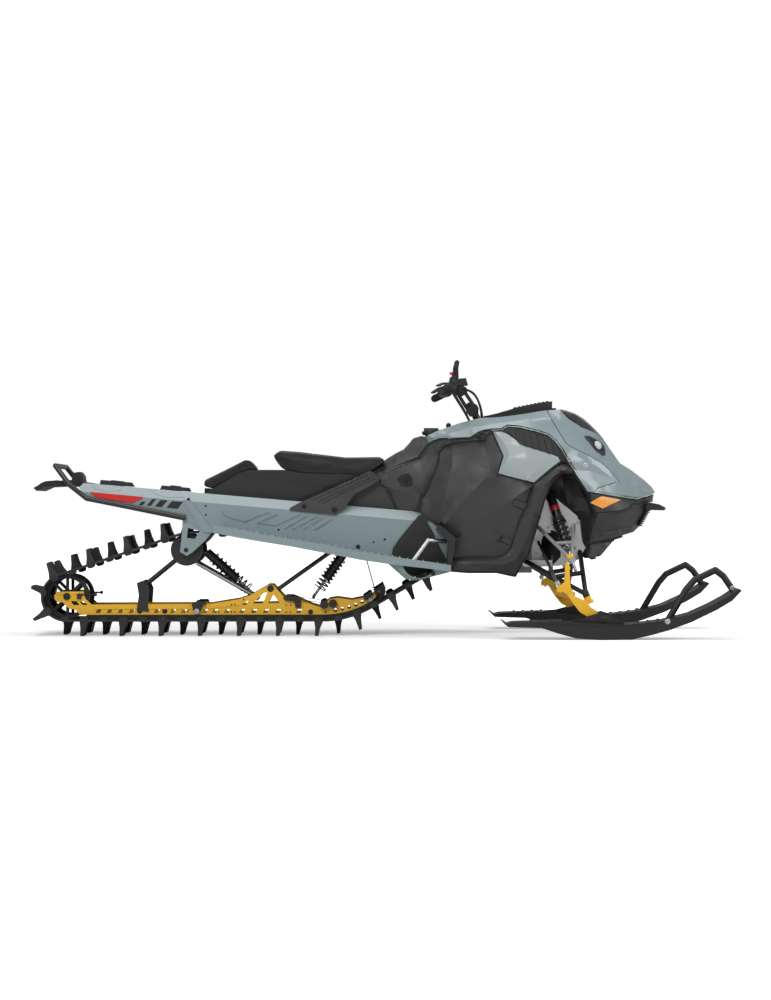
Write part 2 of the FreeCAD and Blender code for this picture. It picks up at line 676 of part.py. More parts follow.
def anchor(pixel_x, radius, rise):
    """A round piece that stands square on the tunnel's sloping top, beside a cleat."""
    rear, front = [place(pixel, -TUNNEL_HALF) for pixel in TUNNEL_TOP_PIXELS]
    way = (front - rear).normalize()
    up = Vector(-way.z, 0, way.x)
    x = place((pixel_x, 0), -CLEAT_Y).x
    foot = rear + way * ((x - rear.x) / way.x)
    foot.y = -CLEAT_Y + CLEAT_WIDTH / 2
    return bar(foot + up * min(rise, 0), foot + up * max(rise, 0), radius)


def cargo_cleats():
    """Four cleats, each with a round anchor that a bag's or rack's pin drops into."""
    pieces = []
    for pixels, pixel_x in zip(CLEAT_PIXELS, ANCHOR_PIXELS):
        near = slab(pixels, -CLEAT_Y, -CLEAT_Y + CLEAT_WIDTH).cut(anchor(pixel_x, ANCHOR_RADIUS, ANCHOR_HEIGHT * 2))
        near = near.fuse(anchor(pixel_x, ANCHOR_RADIUS, ANCHOR_HEIGHT)).removeSplitter()
        pieces.append(pair(near.cut(anchor(pixel_x, ANCHOR_BORE, ANCHOR_HEIGHT))))
    return Part.makeCompound(pieces)


def side_reflectors():
    return pair(slab(REFLECTOR_PIXELS, -TUNNEL_HALF - REFLECTOR_THICKNESS, -TUNNEL_HALF))


# Seat

SEAT_PAD_PIXELS = [
    (272, 455), (277, 451), (300, 452.5), (345, 458), (384, 457.5), (385.5, 461), (366, 473), (362, 475),
    (300, 473), (284, 470), (282, 469),
]
SEAT_BASE_PIXELS = [(212, 489), (240, 473), (250, 470), (284, 470), (300, 473), (362, 475), (300, 502), (205, 494)]
BAG_PIXELS = [(203, 486), (204, 481), (246, 460), (251, 461), (258, 470), (250, 470), (240, 473), (212, 489)]
SEAT_HALF = 128.0
SEAT_BASE_HALF = 118.0
BAG_HALF = 110.0
STRUT_PIXELS = [
    (290, 508), (290, 511), (336, 515), (345, 507), (355, 494), (378, 482), (380, 478), (368, 473.5), (362, 475.5),
    (300, 502.5),
]
STRUT_PLATE = 12.0
STRUT_Y = (232.0, 148.0)


def seat_pad():
    return slab(SEAT_PAD_PIXELS, -SEAT_HALF, SEAT_HALF)


def seat_base():
    return slab(SEAT_BASE_PIXELS, -SEAT_BASE_HALF, SEAT_BASE_HALF)


def rear_bag():
    return slab(BAG_PIXELS, -BAG_HALF, BAG_HALF)


def seat_struts():
    """Plates that lean in from the tunnel's sides to the tank."""
    near = [place(pixel, -sum(STRUT_Y) / 2) for pixel in STRUT_PIXELS]
    low = min(point.z for point in near)
    high = max(point.z for point in near)
    corners = []
    for point in near:
        share = (point.z - low) / (high - low)
        corners.append(Vector(point.x, -STRUT_Y[0] + (STRUT_Y[0] - STRUT_Y[1]) * share, point.z))
    return pair(Part.Face(Part.makePolygon(corners + corners[:1])).extrude(Vector(0, STRUT_PLATE, 0)))


# Bodywork: one outer form through cross-sections, made hollow and parted into panels

BODY_STATION_SHARES = [
    (0.0, [(0.0, 0.655), (0.18, 0.64), (0.34, 0.59), (0.37, 0.55), (0.4, 0.49), (0.43, 0.43), (0.44, 0.37)]),
    (0.075, [(0.0, 0.72), (0.19, 0.705), (0.36, 0.645), (0.405, 0.575), (0.47, 0.49), (0.515, 0.43), (0.53, 0.36)]),
    (0.12, [(0.0, 0.785), (0.2, 0.765), (0.375, 0.69), (0.47, 0.605), (0.545, 0.52), (0.595, 0.43), (0.625, 0.35)]),
    (0.165, [(0.0, 0.805), (0.22, 0.79), (0.44, 0.735), (0.545, 0.65), (0.64, 0.545), (0.69, 0.45), (0.705, 0.3)]),
    (0.245, [(0.0, 0.86), (0.28, 0.84), (0.545, 0.77), (0.67, 0.69), (0.78, 0.545), (0.82, 0.375), (0.8, 0.06)]),
    (0.36, [(0.0, 0.925), (0.345, 0.895), (0.64, 0.815), (0.78, 0.715), (0.89, 0.555), (0.89, 0.315), (0.82, 0.02)]),
    (0.475, [(0.0, 0.945), (0.375, 0.925), (0.67, 0.845), (0.83, 0.74), (0.955, 0.6), (0.94, 0.345), (0.78, 0.005)]),
    (0.59, [(0.0, 0.965), (0.345, 0.94), (0.655, 0.82), (0.845, 0.715), (0.995, 0.615), (0.94, 0.375), (0.75, 0.05)]),
    (0.685, [(0.0, 0.94), (0.295, 0.9), (0.595, 0.795), (0.78, 0.69), (0.955, 0.555), (0.905, 0.345), (0.65, 0.13)]),
    (0.735, [(0.0, 0.88), (0.265, 0.84), (0.53, 0.74), (0.72, 0.65), (0.905, 0.49), (0.89, 0.345), (0.6, 0.16)]),
    (0.785, [(0.0, 0.785), (0.25, 0.745), (0.47, 0.675), (0.67, 0.58), (0.85, 0.465), (0.87, 0.355), (0.58, 0.17)]),
    (0.84, [(0.0, 0.66), (0.235, 0.64), (0.405, 0.605), (0.58, 0.535), (0.725, 0.45), (0.75, 0.36), (0.515, 0.21)]),
    (0.915, [(0.0, 0.565), (0.19, 0.555), (0.31, 0.53), (0.42, 0.49), (0.515, 0.435), (0.53, 0.375), (0.39, 0.27)]),
    (0.965, [(0.0, 0.49), (0.125, 0.485), (0.19, 0.47), (0.235, 0.46), (0.265, 0.435), (0.275, 0.41), (0.22, 0.37)]),
]
HOOD_SHARES = [
    (0.155, 0.785), (0.16, 0.9), (0.3, 1.0), (0.59, 1.05), (0.59, 0.955), (0.64, 0.775), (0.665, 0.735),
    (0.77, 0.66), (0.84, 0.535), (0.76, 0.495), (0.73, 0.48), (0.675, 0.615), (0.635, 0.715), (0.605, 0.785),
    (0.59, 0.8), (0.525, 0.83), (0.45, 0.85), (0.425, 0.83), (0.39, 0.82), (0.34, 0.81), (0.315, 0.78),
    (0.2, 0.77), (0.165, 0.745),
]
NOSE_SHARES = [
    (0.59, 1.05), (0.8, 1.0), (1.0, 0.6), (1.0, 0.43), (0.915, 0.435), (0.76, 0.475), (0.76, 0.495), (0.84, 0.535),
    (0.77, 0.66), (0.665, 0.735), (0.64, 0.775), (0.59, 0.955),
]
GRILLE_SHARES = [
    (0.425, 0.825), (0.445, 0.85), (0.525, 0.83), (0.59, 0.8), (0.605, 0.785), (0.635, 0.715), (0.675, 0.615),
    (0.63, 0.66), (0.62, 0.675), (0.56, 0.71), (0.495, 0.745), (0.455, 0.815),
]
SHOULDER_SHARES = [
    (0.39, 0.82), (0.425, 0.825), (0.455, 0.815), (0.495, 0.745), (0.56, 0.71), (0.62, 0.675), (0.63, 0.655),
    (0.625, 0.635), (0.535, 0.52), (0.41, 0.58), (0.43, 0.675),
]
SIDE_SHARES = [
    (0.245, 0.76), (0.35, 0.765), (0.39, 0.815), (0.43, 0.675), (0.41, 0.58), (0.535, 0.52), (0.535, 0.49),
    (0.515, 0.39), (0.49, 0.315), (0.465, 0.205), (0.445, 0.135), (0.42, 0.105), (0.25, 0.1), (0.26, 0.215),
    (0.175, 0.325), (0.135, 0.355), (0.15, 0.46), (0.17, 0.56), (0.19, 0.66), (0.215, 0.73),
]
PILLAR_SHARES = [
    (0.535, 0.52), (0.625, 0.635), (0.63, 0.66), (0.675, 0.615), (0.73, 0.48), (0.62, 0.57), (0.585, 0.49),
    (0.575, 0.45), (0.56, 0.365), (0.535, 0.26), (0.51, 0.13), (0.49, 0.06), (0.475, -0.05), (0.42, -0.05),
    (0.34, -0.05), (0.28, -0.05), (0.245, -0.05), (0.25, 0.1), (0.42, 0.105), (0.445, 0.135), (0.465, 0.205),
    (0.49, 0.315), (0.515, 0.39), (0.535, 0.49),
]
KNEE_SHARES = [
    (0.0, 0.57), (0.14, 0.675), (0.165, 0.745), (0.2, 0.77), (0.315, 0.78), (0.34, 0.81), (0.39, 0.82),
    (0.35, 0.765), (0.245, 0.76), (0.215, 0.73), (0.19, 0.66), (0.17, 0.56), (0.15, 0.46), (0.135, 0.355),
    (0.06, 0.36), (0.0, 0.4),
]
TANK_SHARES = [(0.0, 0.57), (0.0, 0.9), (0.16, 0.9), (0.155, 0.785), (0.165, 0.745), (0.14, 0.675)]
FASCIA_UPPER_SHARES = [(0.735, 0.475), (0.76, 0.475), (0.915, 0.435), (1.0, 0.43), (1.0, 0.4), (0.87, 0.38),
                       (0.84, 0.37), (0.76, 0.355)]
FASCIA_LOWER_SHARES = [(0.76, 0.355), (0.84, 0.37), (0.87, 0.38), (1.0, 0.4), (1.0, 0.3), (0.915, 0.25),
                       (0.89, 0.2), (0.825, 0.15), (0.735, 0.15), (0.735, 0.475)]
GRILLE_RIB_SHARES = [0.452, 0.476, 0.5, 0.524, 0.548, 0.572, 0.596, 0.62, 0.644]
GRILLE_RIB_WIDTH_SHARE = 0.007
GRILLE_RIB_LEAN_SHARE = 0.03
GRILLE_LOW_SHARE = 0.6
GRILLE_HIGH_SHARE = 0.9
AMBER_SHARES = [(0.735, 0.415), (0.757, 0.436), (0.826, 0.416), (0.78, 0.382)]


def body_point(share_x, share_z):
    return (BODY_X + share_x * BODY_LENGTH, BODY_Z + share_z * BODY_HEIGHT)


def body_outline(shares):
    return [body_point(*share) for share in shares]


def inset_section(points, wall):
    """The near half of a cross-section moved inwards by the wall."""
    moved = []
    for index, (y, z) in enumerate(points):
        before = points[max(index - 1, 0)]
        after = points[min(index + 1, len(points) - 1)]
        along = (after[0] - before[0], after[1] - before[1])
        length = math.hypot(*along)
        normal = (-along[1] / length, along[0] / length)
        moved.append((max(y - normal[0] * wall, 0), z - normal[1] * wall))
    return moved


def body_form(wall):
    """The closed outer form, or with a wall the form inside it."""
    wires = []
    for share_x, section in BODY_STATION_SHARES:
        half = [(BODY_HALF * share_y, BODY_Z + BODY_HEIGHT * share_z) for share_y, share_z in section]
        if wall:
            half = inset_section(half, wall)
            half[0] = (0, half[0][1])
        x = BODY_X + BODY_LENGTH * share_x
        right = [Vector(x, -y, z) for y, z in half]
        left = [Vector(x, y, z) for y, z in reversed(half[1:])]
        corners = right + left
        wires.append(Part.makePolygon(corners + corners[:1]))
    return Part.makeLoft(wires, True, False)


def body_skin(sink=0):
    """The hollow form, with its outside moved in by sink, or out where that is negative."""
    outer = body_form(sink)
    inner = body_form(max(sink, 0) + WALL)
    last = BODY_X + BODY_LENGTH * BODY_STATION_SHARES[-1][0] - WALL
    inner = inner.common(box((-OVERRUN, last), (-OVERRUN, OVERRUN), (0, BODY_Z + BODY_HEIGHT * 2)))
    return outer.cut(inner)


def panel(skin, shares, cut_shares=()):
    """The stretch of the skin inside a side outline, both sides and the top between them."""
    piece = skin.common(prism(body_outline(shares), -OVERRUN, OVERRUN))
    for other in cut_shares:
        piece = piece.cut(prism(body_outline(other), -OVERRUN, OVERRUN))
    return piece


def biggest(shape, count):
    solids = sorted(shape.Solids, key=lambda solid: -solid.Volume)[:count]
    return solids[0] if count == 1 else Part.makeCompound(solids)


def side_grilles(skin):
    """Sunk panels with slanting ribs that stand up to the bodywork's surface."""
    grille = panel(body_skin(GRILLE_SINK), GRILLE_SHARES)
    full = panel(skin, GRILLE_SHARES)
    low, high, lean = GRILLE_LOW_SHARE, GRILLE_HIGH_SHARE, GRILLE_RIB_LEAN_SHARE
    for share in GRILLE_RIB_SHARES:
        right = share + GRILLE_RIB_WIDTH_SHARE
        rib = [(share, low), (right, low), (right - lean, high), (share - lean, high)]
        grille = grille.fuse(full.common(prism(body_outline(rib), -OVERRUN, OVERRUN)))
    return grille


# Front suspension

BULKHEAD_PIXELS = [
    (545, 500), (556, 498), (580, 520), (585, 535), (588, 545), (578, 560), (560, 566), (540, 567), (524, 567),
    (520, 560), (523, 555), (530, 545), (533, 525), (540, 520),
]
BULKHEAD_HALF = 150.0
SKI_LOWEST_PIXEL = (600, 637)
KINGPIN_Y = 425.0
LOWER_BALL_PIXEL = (586, 592)
UPPER_BALL_PIXEL = (572, 558)
UPPER_ARM_PIXELS = ((538, 527), (574, 525))
LOWER_ARM_PIXELS = ((524, 560.5), (580, 552))
ARM_BRACE_SHARE = 0.5
BALL_RADIUS = 16.0
BALL_HEIGHT = 24.0
STUD_RADIUS = 6.0
STUD_LENGTH = 12.0
LOBE_HEIGHT = 18.0
FACE_GAP = 0.6
SHOCK_PIXELS = ((550, 494), (576, 571))
SHOCK_TOP_Y = 150.0
SHOCK_LOW_Y = 287.5
SHOCK_ROD_SHARE = 0.4
SPRING_SHARES = (0.27, 0.62)


def seated(pixel, y):
    """The place of a pixel on the near ski or spindle, with the ski's keel put on the ground."""
    return place(pixel, y) - Vector(0, 0, place(SKI_LOWEST_PIXEL, -SKI_Y).z)


def seated_slab(pixels, y_middle, width):
    points = [seated(pixel, -y_middle) for pixel in pixels]
    return prism([(p.x, p.z) for p in points], -y_middle - width / 2, -y_middle + width / 2)


LOWER_BALL = seated(LOWER_BALL_PIXEL, -KINGPIN_Y)
UPPER_BALL = seated(UPPER_BALL_PIXEL, -KINGPIN_Y)
KINGPIN = (UPPER_BALL - LOWER_BALL).normalize()


def along_kingpin(point, first, last, radius):
    return bar(point + KINGPIN * first, point + KINGPIN * last, radius)


def wishbone(pixels, ball, tube, stud_way):
    """Two tubes from the bulkhead's side to an eye on the steering axis, with the stud that the spindle turns on."""
    roots = [place(pixel, -BULKHEAD_HALF) for pixel in pixels]
    legs = [bar(root, ball, tube) for root in roots]
    half = BALL_HEIGHT / 2
    eye = along_kingpin(ball, -half, half, BALL_RADIUS)
    stud = along_kingpin(ball, 0, stud_way * (half + STUD_LENGTH), STUD_RADIUS)
    brace_ends = [leg_start + (ball - leg_start) * ARM_BRACE_SHARE for leg_start in roots]
    near = fuse(*legs, eye, bar(*brace_ends, tube))
    trim = along_kingpin(ball, stud_way * half, stud_way * BALL_HEIGHT * 2, BALL_RADIUS * 2)
    near = near.cut(trim).cut(box((0, OVERRUN * 4), (-BULKHEAD_HALF, 0), (0, OVERRUN * 3)))
    return near.fuse(stud).removeSplitter()


def front_shock_ends():
    return [place(pixel, -y) for pixel, y in zip(SHOCK_PIXELS, (SHOCK_TOP_Y, SHOCK_LOW_Y))]


def front_shock():
    top, low = front_shock_ends()
    return sprung_shock(low, top, SHOCK_ROD_SHARE, SPRING_SHARES, SPRING_RADIUS + SPRING_WIRE)


def front_spring_room():
    top, low = front_shock_ends()
    return bar(low, top, SPRING_RADIUS + SPRING_WIRE + FIT_GAP)


def front_spring():
    top, low = front_shock_ends()
    return spring(low, top, SPRING_SHARES, SPRING_RADIUS, SPRING_WIRE, SPRING_TURNS)


# Spindle and ski

SPINDLE_ARCH_PIXELS = [
    (577, 560), (575, 554), (568, 557), (565.5, 562), (564.5, 580), (557, 585), (557, 590), (566, 590), (572, 600),
    (584, 604), (594, 600), (593, 597), (583, 598), (575, 594), (570.5, 585), (569.5, 568), (573, 561),
]
SPINDLE_LEG_PIXELS = [(566, 590), (572, 600), (580, 610), (592, 617), (606, 620), (609, 616), (600, 612), (592, 606),
                      (584, 598), (575, 594)]
SPINDLE_BRIDGE_PIXELS = [(566, 590), (572, 600), (584, 604), (588, 602), (584, 598), (575, 594)]
SPINDLE_FOOT_RADIUS = 18.0
STEERING_BALL_PIXEL = (560, 587)
SKI_TOP_PIXELS = [
    (500.5, 617.5), (507, 621), (513, 619.5), (560, 618), (580, 620), (620, 622), (645, 620), (664, 617.5),
    (690, 611), (710, 602), (725, 594), (737, 586),
]
SKI_LOW_PIXELS = [
    (739.5, 588), (730, 598), (715, 607), (690, 619), (668, 627), (650, 632), (630, 636.5), SKI_LOWEST_PIXEL,
    (575, 635.5), (555, 630), (540, 625), (507, 624),
]
SKI_SADDLE_PIXELS = [(560, 618), (575, 617), (590, 613), (602, 609), (608, 611), (615, 616), (625, 622), (600, 626),
                     (580, 624)]
SADDLE_HALF = 45.0
SADDLE_PLATE = 8.0
SKI_BOLT_PIXEL = (603, 615.5)
SKI_BOLT_RADIUS = 8.0
SKI_FLOOR_PIXEL = (603, 621.3)
SKI_LOOP_PIXELS = [(668, 619), (678, 602), (687, 587), (695, 578), (716, 568), (724, 574), (735, 590)]
SKI_BOLT = seated(SKI_BOLT_PIXEL, -SKI_Y)


def ski():
    body = seated_slab(SKI_TOP_PIXELS + SKI_LOW_PIXELS, SKI_Y, SKI_WIDTH)
    saddle = seated_slab(SKI_SADDLE_PIXELS, SKI_Y, 2 * SADDLE_HALF)
    hollow = SADDLE_HALF - SADDLE_PLATE
    floor = seated(SKI_FLOOR_PIXEL, -SKI_Y).z
    slot = box((SKI_BOLT.x - OVERRUN, SKI_BOLT.x + OVERRUN), (-SKI_Y - hollow, -SKI_Y + hollow),
               (floor, floor + OVERRUN))
    shell = body.fuse(saddle).cut(slot.common(seated_slab(SKI_SADDLE_PIXELS, SKI_Y, 2 * SADDLE_HALF)))
    return fuse(shell, disc(SKI_BOLT, SKI_BOLT_RADIUS, 2 * SADDLE_HALF))


def ski_loop():
    points = [seated(pixel, -SKI_Y) for pixel in SKI_LOOP_PIXELS]
    return pipe(points, LOOP_TUBE)


def spindle():
    arch = seated_slab(SPINDLE_ARCH_PIXELS, KINGPIN_Y, SPINDLE_WIDTH)
    leg = seated_slab(SPINDLE_LEG_PIXELS, SKI_Y, SPINDLE_WIDTH)
    bridge = seated_slab(SPINDLE_BRIDGE_PIXELS, (KINGPIN_Y + SKI_Y) / 2, SKI_Y - KINGPIN_Y + SPINDLE_WIDTH)
    foot = disc(SKI_BOLT, SPINDLE_FOOT_RADIUS, SPINDLE_WIDTH)
    face = BALL_HEIGHT / 2 + FACE_GAP
    lobes = [along_kingpin(UPPER_BALL, face, face + LOBE_HEIGHT, BALL_RADIUS),
             along_kingpin(LOWER_BALL, -face, -face - LOBE_HEIGHT, BALL_RADIUS)]
    whole = arch.cut(along_kingpin(LOWER_BALL, -face, (UPPER_BALL - LOWER_BALL).Length + face, BALL_RADIUS * 1.5))
    whole = fuse(whole, leg, bridge, foot, *lobes)
    whole = whole.cut(along_kingpin(UPPER_BALL, 0, face + STUD_LENGTH + FACE_GAP, STUD_RADIUS + FIT_GAP))
    whole = whole.cut(along_kingpin(LOWER_BALL, 0, -face - STUD_LENGTH - FACE_GAP, STUD_RADIUS + FIT_GAP))
    steering_ball = seated(STEERING_BALL_PIXEL, -KINGPIN_Y)
    whole = whole.cut(bar(steering_ball - KINGPIN * OVERRUN, steering_ball + KINGPIN * OVERRUN, TIE_PIN + FIT_GAP))
    foot_trim = disc(SKI_BOLT, SPINDLE_FOOT_RADIUS * 3, SPINDLE_WIDTH).cut(disc(SKI_BOLT, SPINDLE_FOOT_RADIUS, SPINDLE_WIDTH))
    below = box((SKI_BOLT.x - SPINDLE_FOOT_RADIUS, SKI_BOLT.x + OVERRUN), (-OVERRUN * 2, 0), (0, SKI_BOLT.z))
    return whole.cut(foot_trim.common(below)).cut(disc(SKI_BOLT, SKI_BOLT_RADIUS + FIT_GAP, OVERRUN))


TIE_PIN = 5.0
TIE_EYE = 12.0
TIE_EYE_HEIGHT = 18.0
TIE_EYE_LIFT = 21.0
TIE_INNER_Y = 95.0
TIE_INNER_PIXEL = (538.5, 542)
TIE_POCKET_X = 58.0
TIE_POCKET_RISE = 42.0
TIE_POCKET_DROP = 84.0


def tie_rod():
    """The rod from the spindle's steering arm into the bulkhead, with the pin that it hangs on."""
    ball = seated(STEERING_BALL_PIXEL, -KINGPIN_Y)
    foot = ball + KINGPIN * TIE_EYE_LIFT
    top = foot + KINGPIN * TIE_EYE_HEIGHT
    pin = bar(ball - KINGPIN * TIE_EYE_LIFT, top, TIE_PIN)
    inner = place(TIE_INNER_PIXEL, -TIE_INNER_Y)
    return fuse(bar(foot, top, TIE_EYE), pin, bar((foot + top) / 2, inner, ROD_TUBE))


def tie_pocket():
    inner = place(TIE_INNER_PIXEL, -TIE_INNER_Y)
    return box((inner.x - TIE_POCKET_X, inner.x + TIE_POCKET_X), (-BULKHEAD_HALF - TINY, -MOVE_GAP * 2),
               (inner.z - TIE_POCKET_DROP, inner.z + TIE_POCKET_RISE))


def bulkhead():
    block = slab(BULKHEAD_PIXELS, -BULKHEAD_HALF, BULKHEAD_HALF)
    pocket = tie_pocket()
    return block.cut(pocket).cut(mirror(pocket))


# Steering

COLUMN_TOP_PIXEL = (455.5, 388)
COLUMN_FOOT_PIXEL = (484, 433)
COLUMN_TOP = place(COLUMN_TOP_PIXEL, 0)
COLUMN_FOOT = place(COLUMN_FOOT_PIXEL, 0)
COLUMN_AXIS = (COLUMN_TOP - COLUMN_FOOT).normalize()
BAR_BEND_Y = (70.0, 240.0)
BAR_BEND_PIXELS = ((456, 388), (449.5, 388.5))
GRIP_END_PIXEL = (440.5, 391)
LEVER_PIXELS = ((452, 384), (437, 383))
LEVER_Y = (230.0, 350.0)
LEVER_RADIUS = 6.0
CONTROL_Y = 225.0
CONTROL_WIDTH = 45.0
CONTROL_RADIUS = 26.0
RISER_PIXELS = [(452, 385), (466, 385), (466, 394), (480, 420), (474, 424), (461, 400), (452, 394)]
RISER_HALF = 42.0
POST_RADIUS = 24.0
POST_LENGTH = 420.0
POST_BORE = 22.0
FLANGE_THICKNESS = 8.0
COLUMN_ROOM = 60.0
DISPLAY_PIXELS = [(459.5, 378.5), (466, 378), (468, 385), (460, 385)]
DISPLAY_HALF = 48.0
STRAP_PIXELS = ((456.5, 386), (456, 368), (457, 362.5))
STRAP_Y = (52.0, 46.0, 20.0)
STRAP_RADIUS = 11.0


def steering_column():
    riser = slab(RISER_PIXELS, -RISER_HALF, RISER_HALF)
    return fuse(riser, bar(COLUMN_FOOT, COLUMN_TOP, COLUMN_RADIUS)).cut(handlebar_tube())


def steering_post():
    """The fixed tube that carries the column's foot, from the engine to a flange in the hood."""
    root = COLUMN_FOOT - COLUMN_AXIS * POST_LENGTH
    top = COLUMN_FOOT + COLUMN_AXIS * POST_BORE
    flange = bar(COLUMN_FOOT - COLUMN_AXIS * FLANGE_THICKNESS, COLUMN_FOOT, COLUMN_ROOM)
    bore = bar(COLUMN_FOOT - COLUMN_AXIS * FIT_GAP, top, COLUMN_RADIUS + FIT_GAP)
    return fuse(bar(root, top, POST_RADIUS), flange).cut(bore)


def bar_points():
    bends = [place(pixel, -y) for pixel, y in zip(BAR_BEND_PIXELS, BAR_BEND_Y)]
    return bends + [place(GRIP_END_PIXEL, -BAR_HALF)]


def handlebar_tube():
    near = bar_points()
    return pipe(list(reversed(near)) + [mirror_point(point) for point in near], BAR_TUBE)


def grip():
    bend, end = bar_points()[-2:]
    start = end + (bend - end).normalize() * GRIP_LENGTH
    return bar(start, end, GRIP_RADIUS).cut(bar(start, end, BAR_TUBE))


def bar_controls():
    bend, end = bar_points()[-2:]
    way = (end - bend).normalize()
    block = bar(bend - way * CONTROL_WIDTH, bend, CONTROL_RADIUS).cut(handlebar_tube())
    lever = bar(place(LEVER_PIXELS[0], -LEVER_Y[0]), place(LEVER_PIXELS[1], -LEVER_Y[1]), LEVER_RADIUS)
    return pair(block.fuse(lever).cut(handlebar_tube()))


def display():
    return slab(DISPLAY_PIXELS, -DISPLAY_HALF, DISPLAY_HALF).cut(steering_column())


def grab_strap():
    near = [place(pixel, -y) for pixel, y in zip(STRAP_PIXELS, STRAP_Y)]
    loop = pipe(near + [mirror_point(point) for point in reversed(near)], STRAP_RADIUS)
    return loop.cut(handlebar_tube()).cut(steering_column())


# Pieces on and in the bodywork

DUCT_PIXELS = [
    (561, 472), (573, 472), (590, 494), (593, 513), (592, 541), (586, 536), (581, 521), (572, 505), (563, 482),
]
DUCT_Y = 188.0
NOSE_WALL_SHARES = [(0.735, 0.15), (0.739, 0.15), (0.739, 0.62), (0.735, 0.62)]
LIP_PIXELS = [(590, 541), (615, 537), (601, 556), (592, 558), (588, 556)]
LIP_HALF = 110.0
FRONT_BUMPER_PIXELS = [(628, 503), (650, 502.5), (660, 504.5), (666.5, 508), (665, 510.5), (650, 510), (628, 509)]
FRONT_BUMPER_ROOM_PIXELS = [(600, 495), (661, 495), (661, 515), (600, 515)]
FRONT_BUMPER_HALF = 150.0
FRONT_BUMPER_BAR = 20.0
TANK_BASE_PIXELS = [(340, 508), (344, 500), (352, 490), (366, 476), (381, 472), (392, 480), (402, 500), (402, 513)]
TANK_BASE_HALF = 136.0
ENGINE_X = (389.0, 709.0)
ENGINE_HALF = 148.0
ENGINE_Z = (288.0, 640.0)
BELLY_CLEAR_X = 371.0
VENT_SHARES = [
    (0.368, 0.875), (0.368, 0.916), (0.421, 0.936), (0.482, 0.965), (0.571, 0.994), (0.619, 1.006), (0.642, 0.96),
    (0.642, 0.895),
]
VENT_HALF = 88.0
CAP_SHARES = (0.188, 0.853)
CAP_RADIUS = 40.0
CAP_DEPTH = 60.0
CAP_BEVEL = 8.0
WINDSHIELD_SHARES = [(0.615, 0.725), (0.777, 0.725), (0.777, 1.2), (0.615, 1.2)]
WINDSHIELD_HALF = 108.0
LAMP_SHARES = [
    (0.717, 0.798), (0.735, 0.8), (0.784, 0.763), (0.805, 0.729), (0.809, 0.666), (0.788, 0.666), (0.766, 0.706),
    (0.738, 0.758),
]
LAMP_Y = (60.0, 230.0)
TOE_BAR_PIXELS = [(413, 561), (428, 540.5), (446, 541.5)]
TOE_BAR_Y = (352.0, 345.0, 290.0)
TOE_TUBE = 10.0
FOOTWELL_PIXELS = [(440, 525), (456, 538), (452, 565), (447, 565), (449, 541), (436, 530)]
FOOTWELL_SIDE_PIXELS = [(391, 558), (393, 548), (400, 538), (418, 516), (424, 514), (440, 524), (456, 537), (452, 564)]
FOOTWELL_PLATE = 6.0


def fascia_lower(skin):
    """The nose's lower shell with its rear wall, the inner panels beside the suspension and the lip below."""
    shell = biggest(panel(skin, FASCIA_LOWER_SHARES), 1)
    wall = body_form(WALL / 2).common(prism(body_outline(NOSE_WALL_SHARES), -OVERRUN, OVERRUN))
    duct = slab(DUCT_PIXELS, -DUCT_Y - WALL, -DUCT_Y)
    lip = slab(LIP_PIXELS, -LIP_HALF, LIP_HALF)
    return fuse(shell, wall, duct, mirror(duct), lip)


def front_bumper():
    """A bar round the nose's tip, open behind its cross piece."""
    whole = slab(FRONT_BUMPER_PIXELS, -FRONT_BUMPER_HALF, FRONT_BUMPER_HALF)
    inner = FRONT_BUMPER_HALF - FRONT_BUMPER_BAR
    return whole.cut(slab(FRONT_BUMPER_ROOM_PIXELS, -inner, inner)).cut(body_form(0))


def amber_reflectors(skin):
    return biggest(panel(skin, AMBER_SHARES), 2)


def tank_base():
    """The fuel tank's lower part behind the bodywork."""
    return slab(TANK_BASE_PIXELS, -TANK_BASE_HALF, TANK_BASE_HALF).cut(body_form(0))


def fuel_cap():
    """A round cap with a sloping edge."""
    x, z = body_point(*CAP_SHARES)
    top = Vector(x, 0, z)
    edge = top - Vector(0, 0, CAP_BEVEL)
    slope = Part.makeCone(CAP_RADIUS, CAP_RADIUS - CAP_BEVEL, CAP_BEVEL, edge)
    return fuse(bar(top - Vector(0, 0, CAP_DEPTH), edge, CAP_RADIUS), slope)


def toe_bar():
    return pipe([place(pixel, -y) for pixel, y in zip(TOE_BAR_PIXELS, TOE_BAR_Y)], TOE_TUBE)


def footwell():
    """The toe stop across the board and the panel on the tunnel's side behind it."""
    stop = slab(FOOTWELL_PIXELS, -BOARD_HALF + BOARD_LIP, -TUNNEL_HALF)
    return stop.fuse(slab(FOOTWELL_SIDE_PIXELS, -TUNNEL_HALF - FOOTWELL_PLATE, -TUNNEL_HALF)).removeSplitter()


def engine_block():
    return box(ENGINE_X, (-ENGINE_HALF, ENGINE_HALF), ENGINE_Z)


NODES = {}


def build_track():
    NODES["track"] = track()
    NODES["skid_rails"] = pair(skid_rail())
    NODES["slide_shoes"] = pair(slide_shoe())
    NODES["rear_wheels"] = rear_wheels()
    NODES["carrier_wheels"] = carrier_wheels()
    NODES["drive_sprockets"] = drive_sprockets()
    NODES["idler_wheels"] = idler_wheels()
    NODES["rear_skid_arm"] = rear_skid_arm()
    NODES["front_skid_arm"] = front_skid_arm()
    NODES["skid_shocks"] = skid_shocks()


def build_tunnel():
    NODES["tunnel"] = tunnel()
    NODES["running_boards"] = pair(running_board())
    NODES["tunnel_brackets"] = Part.makeCompound([board_straps(), drop_brackets()])
    NODES["rear_bumper"] = rear_bumper()
    NODES["snow_flap"] = snow_flap()
    NODES["tail_lamp"] = tail_lamp()
    NODES["cargo_cleats"] = cargo_cleats()
    NODES["seat_pad"] = seat_pad()
    NODES["seat_base"] = seat_base()
    NODES["rear_bag"] = rear_bag()
    NODES["seat_struts"] = seat_struts()


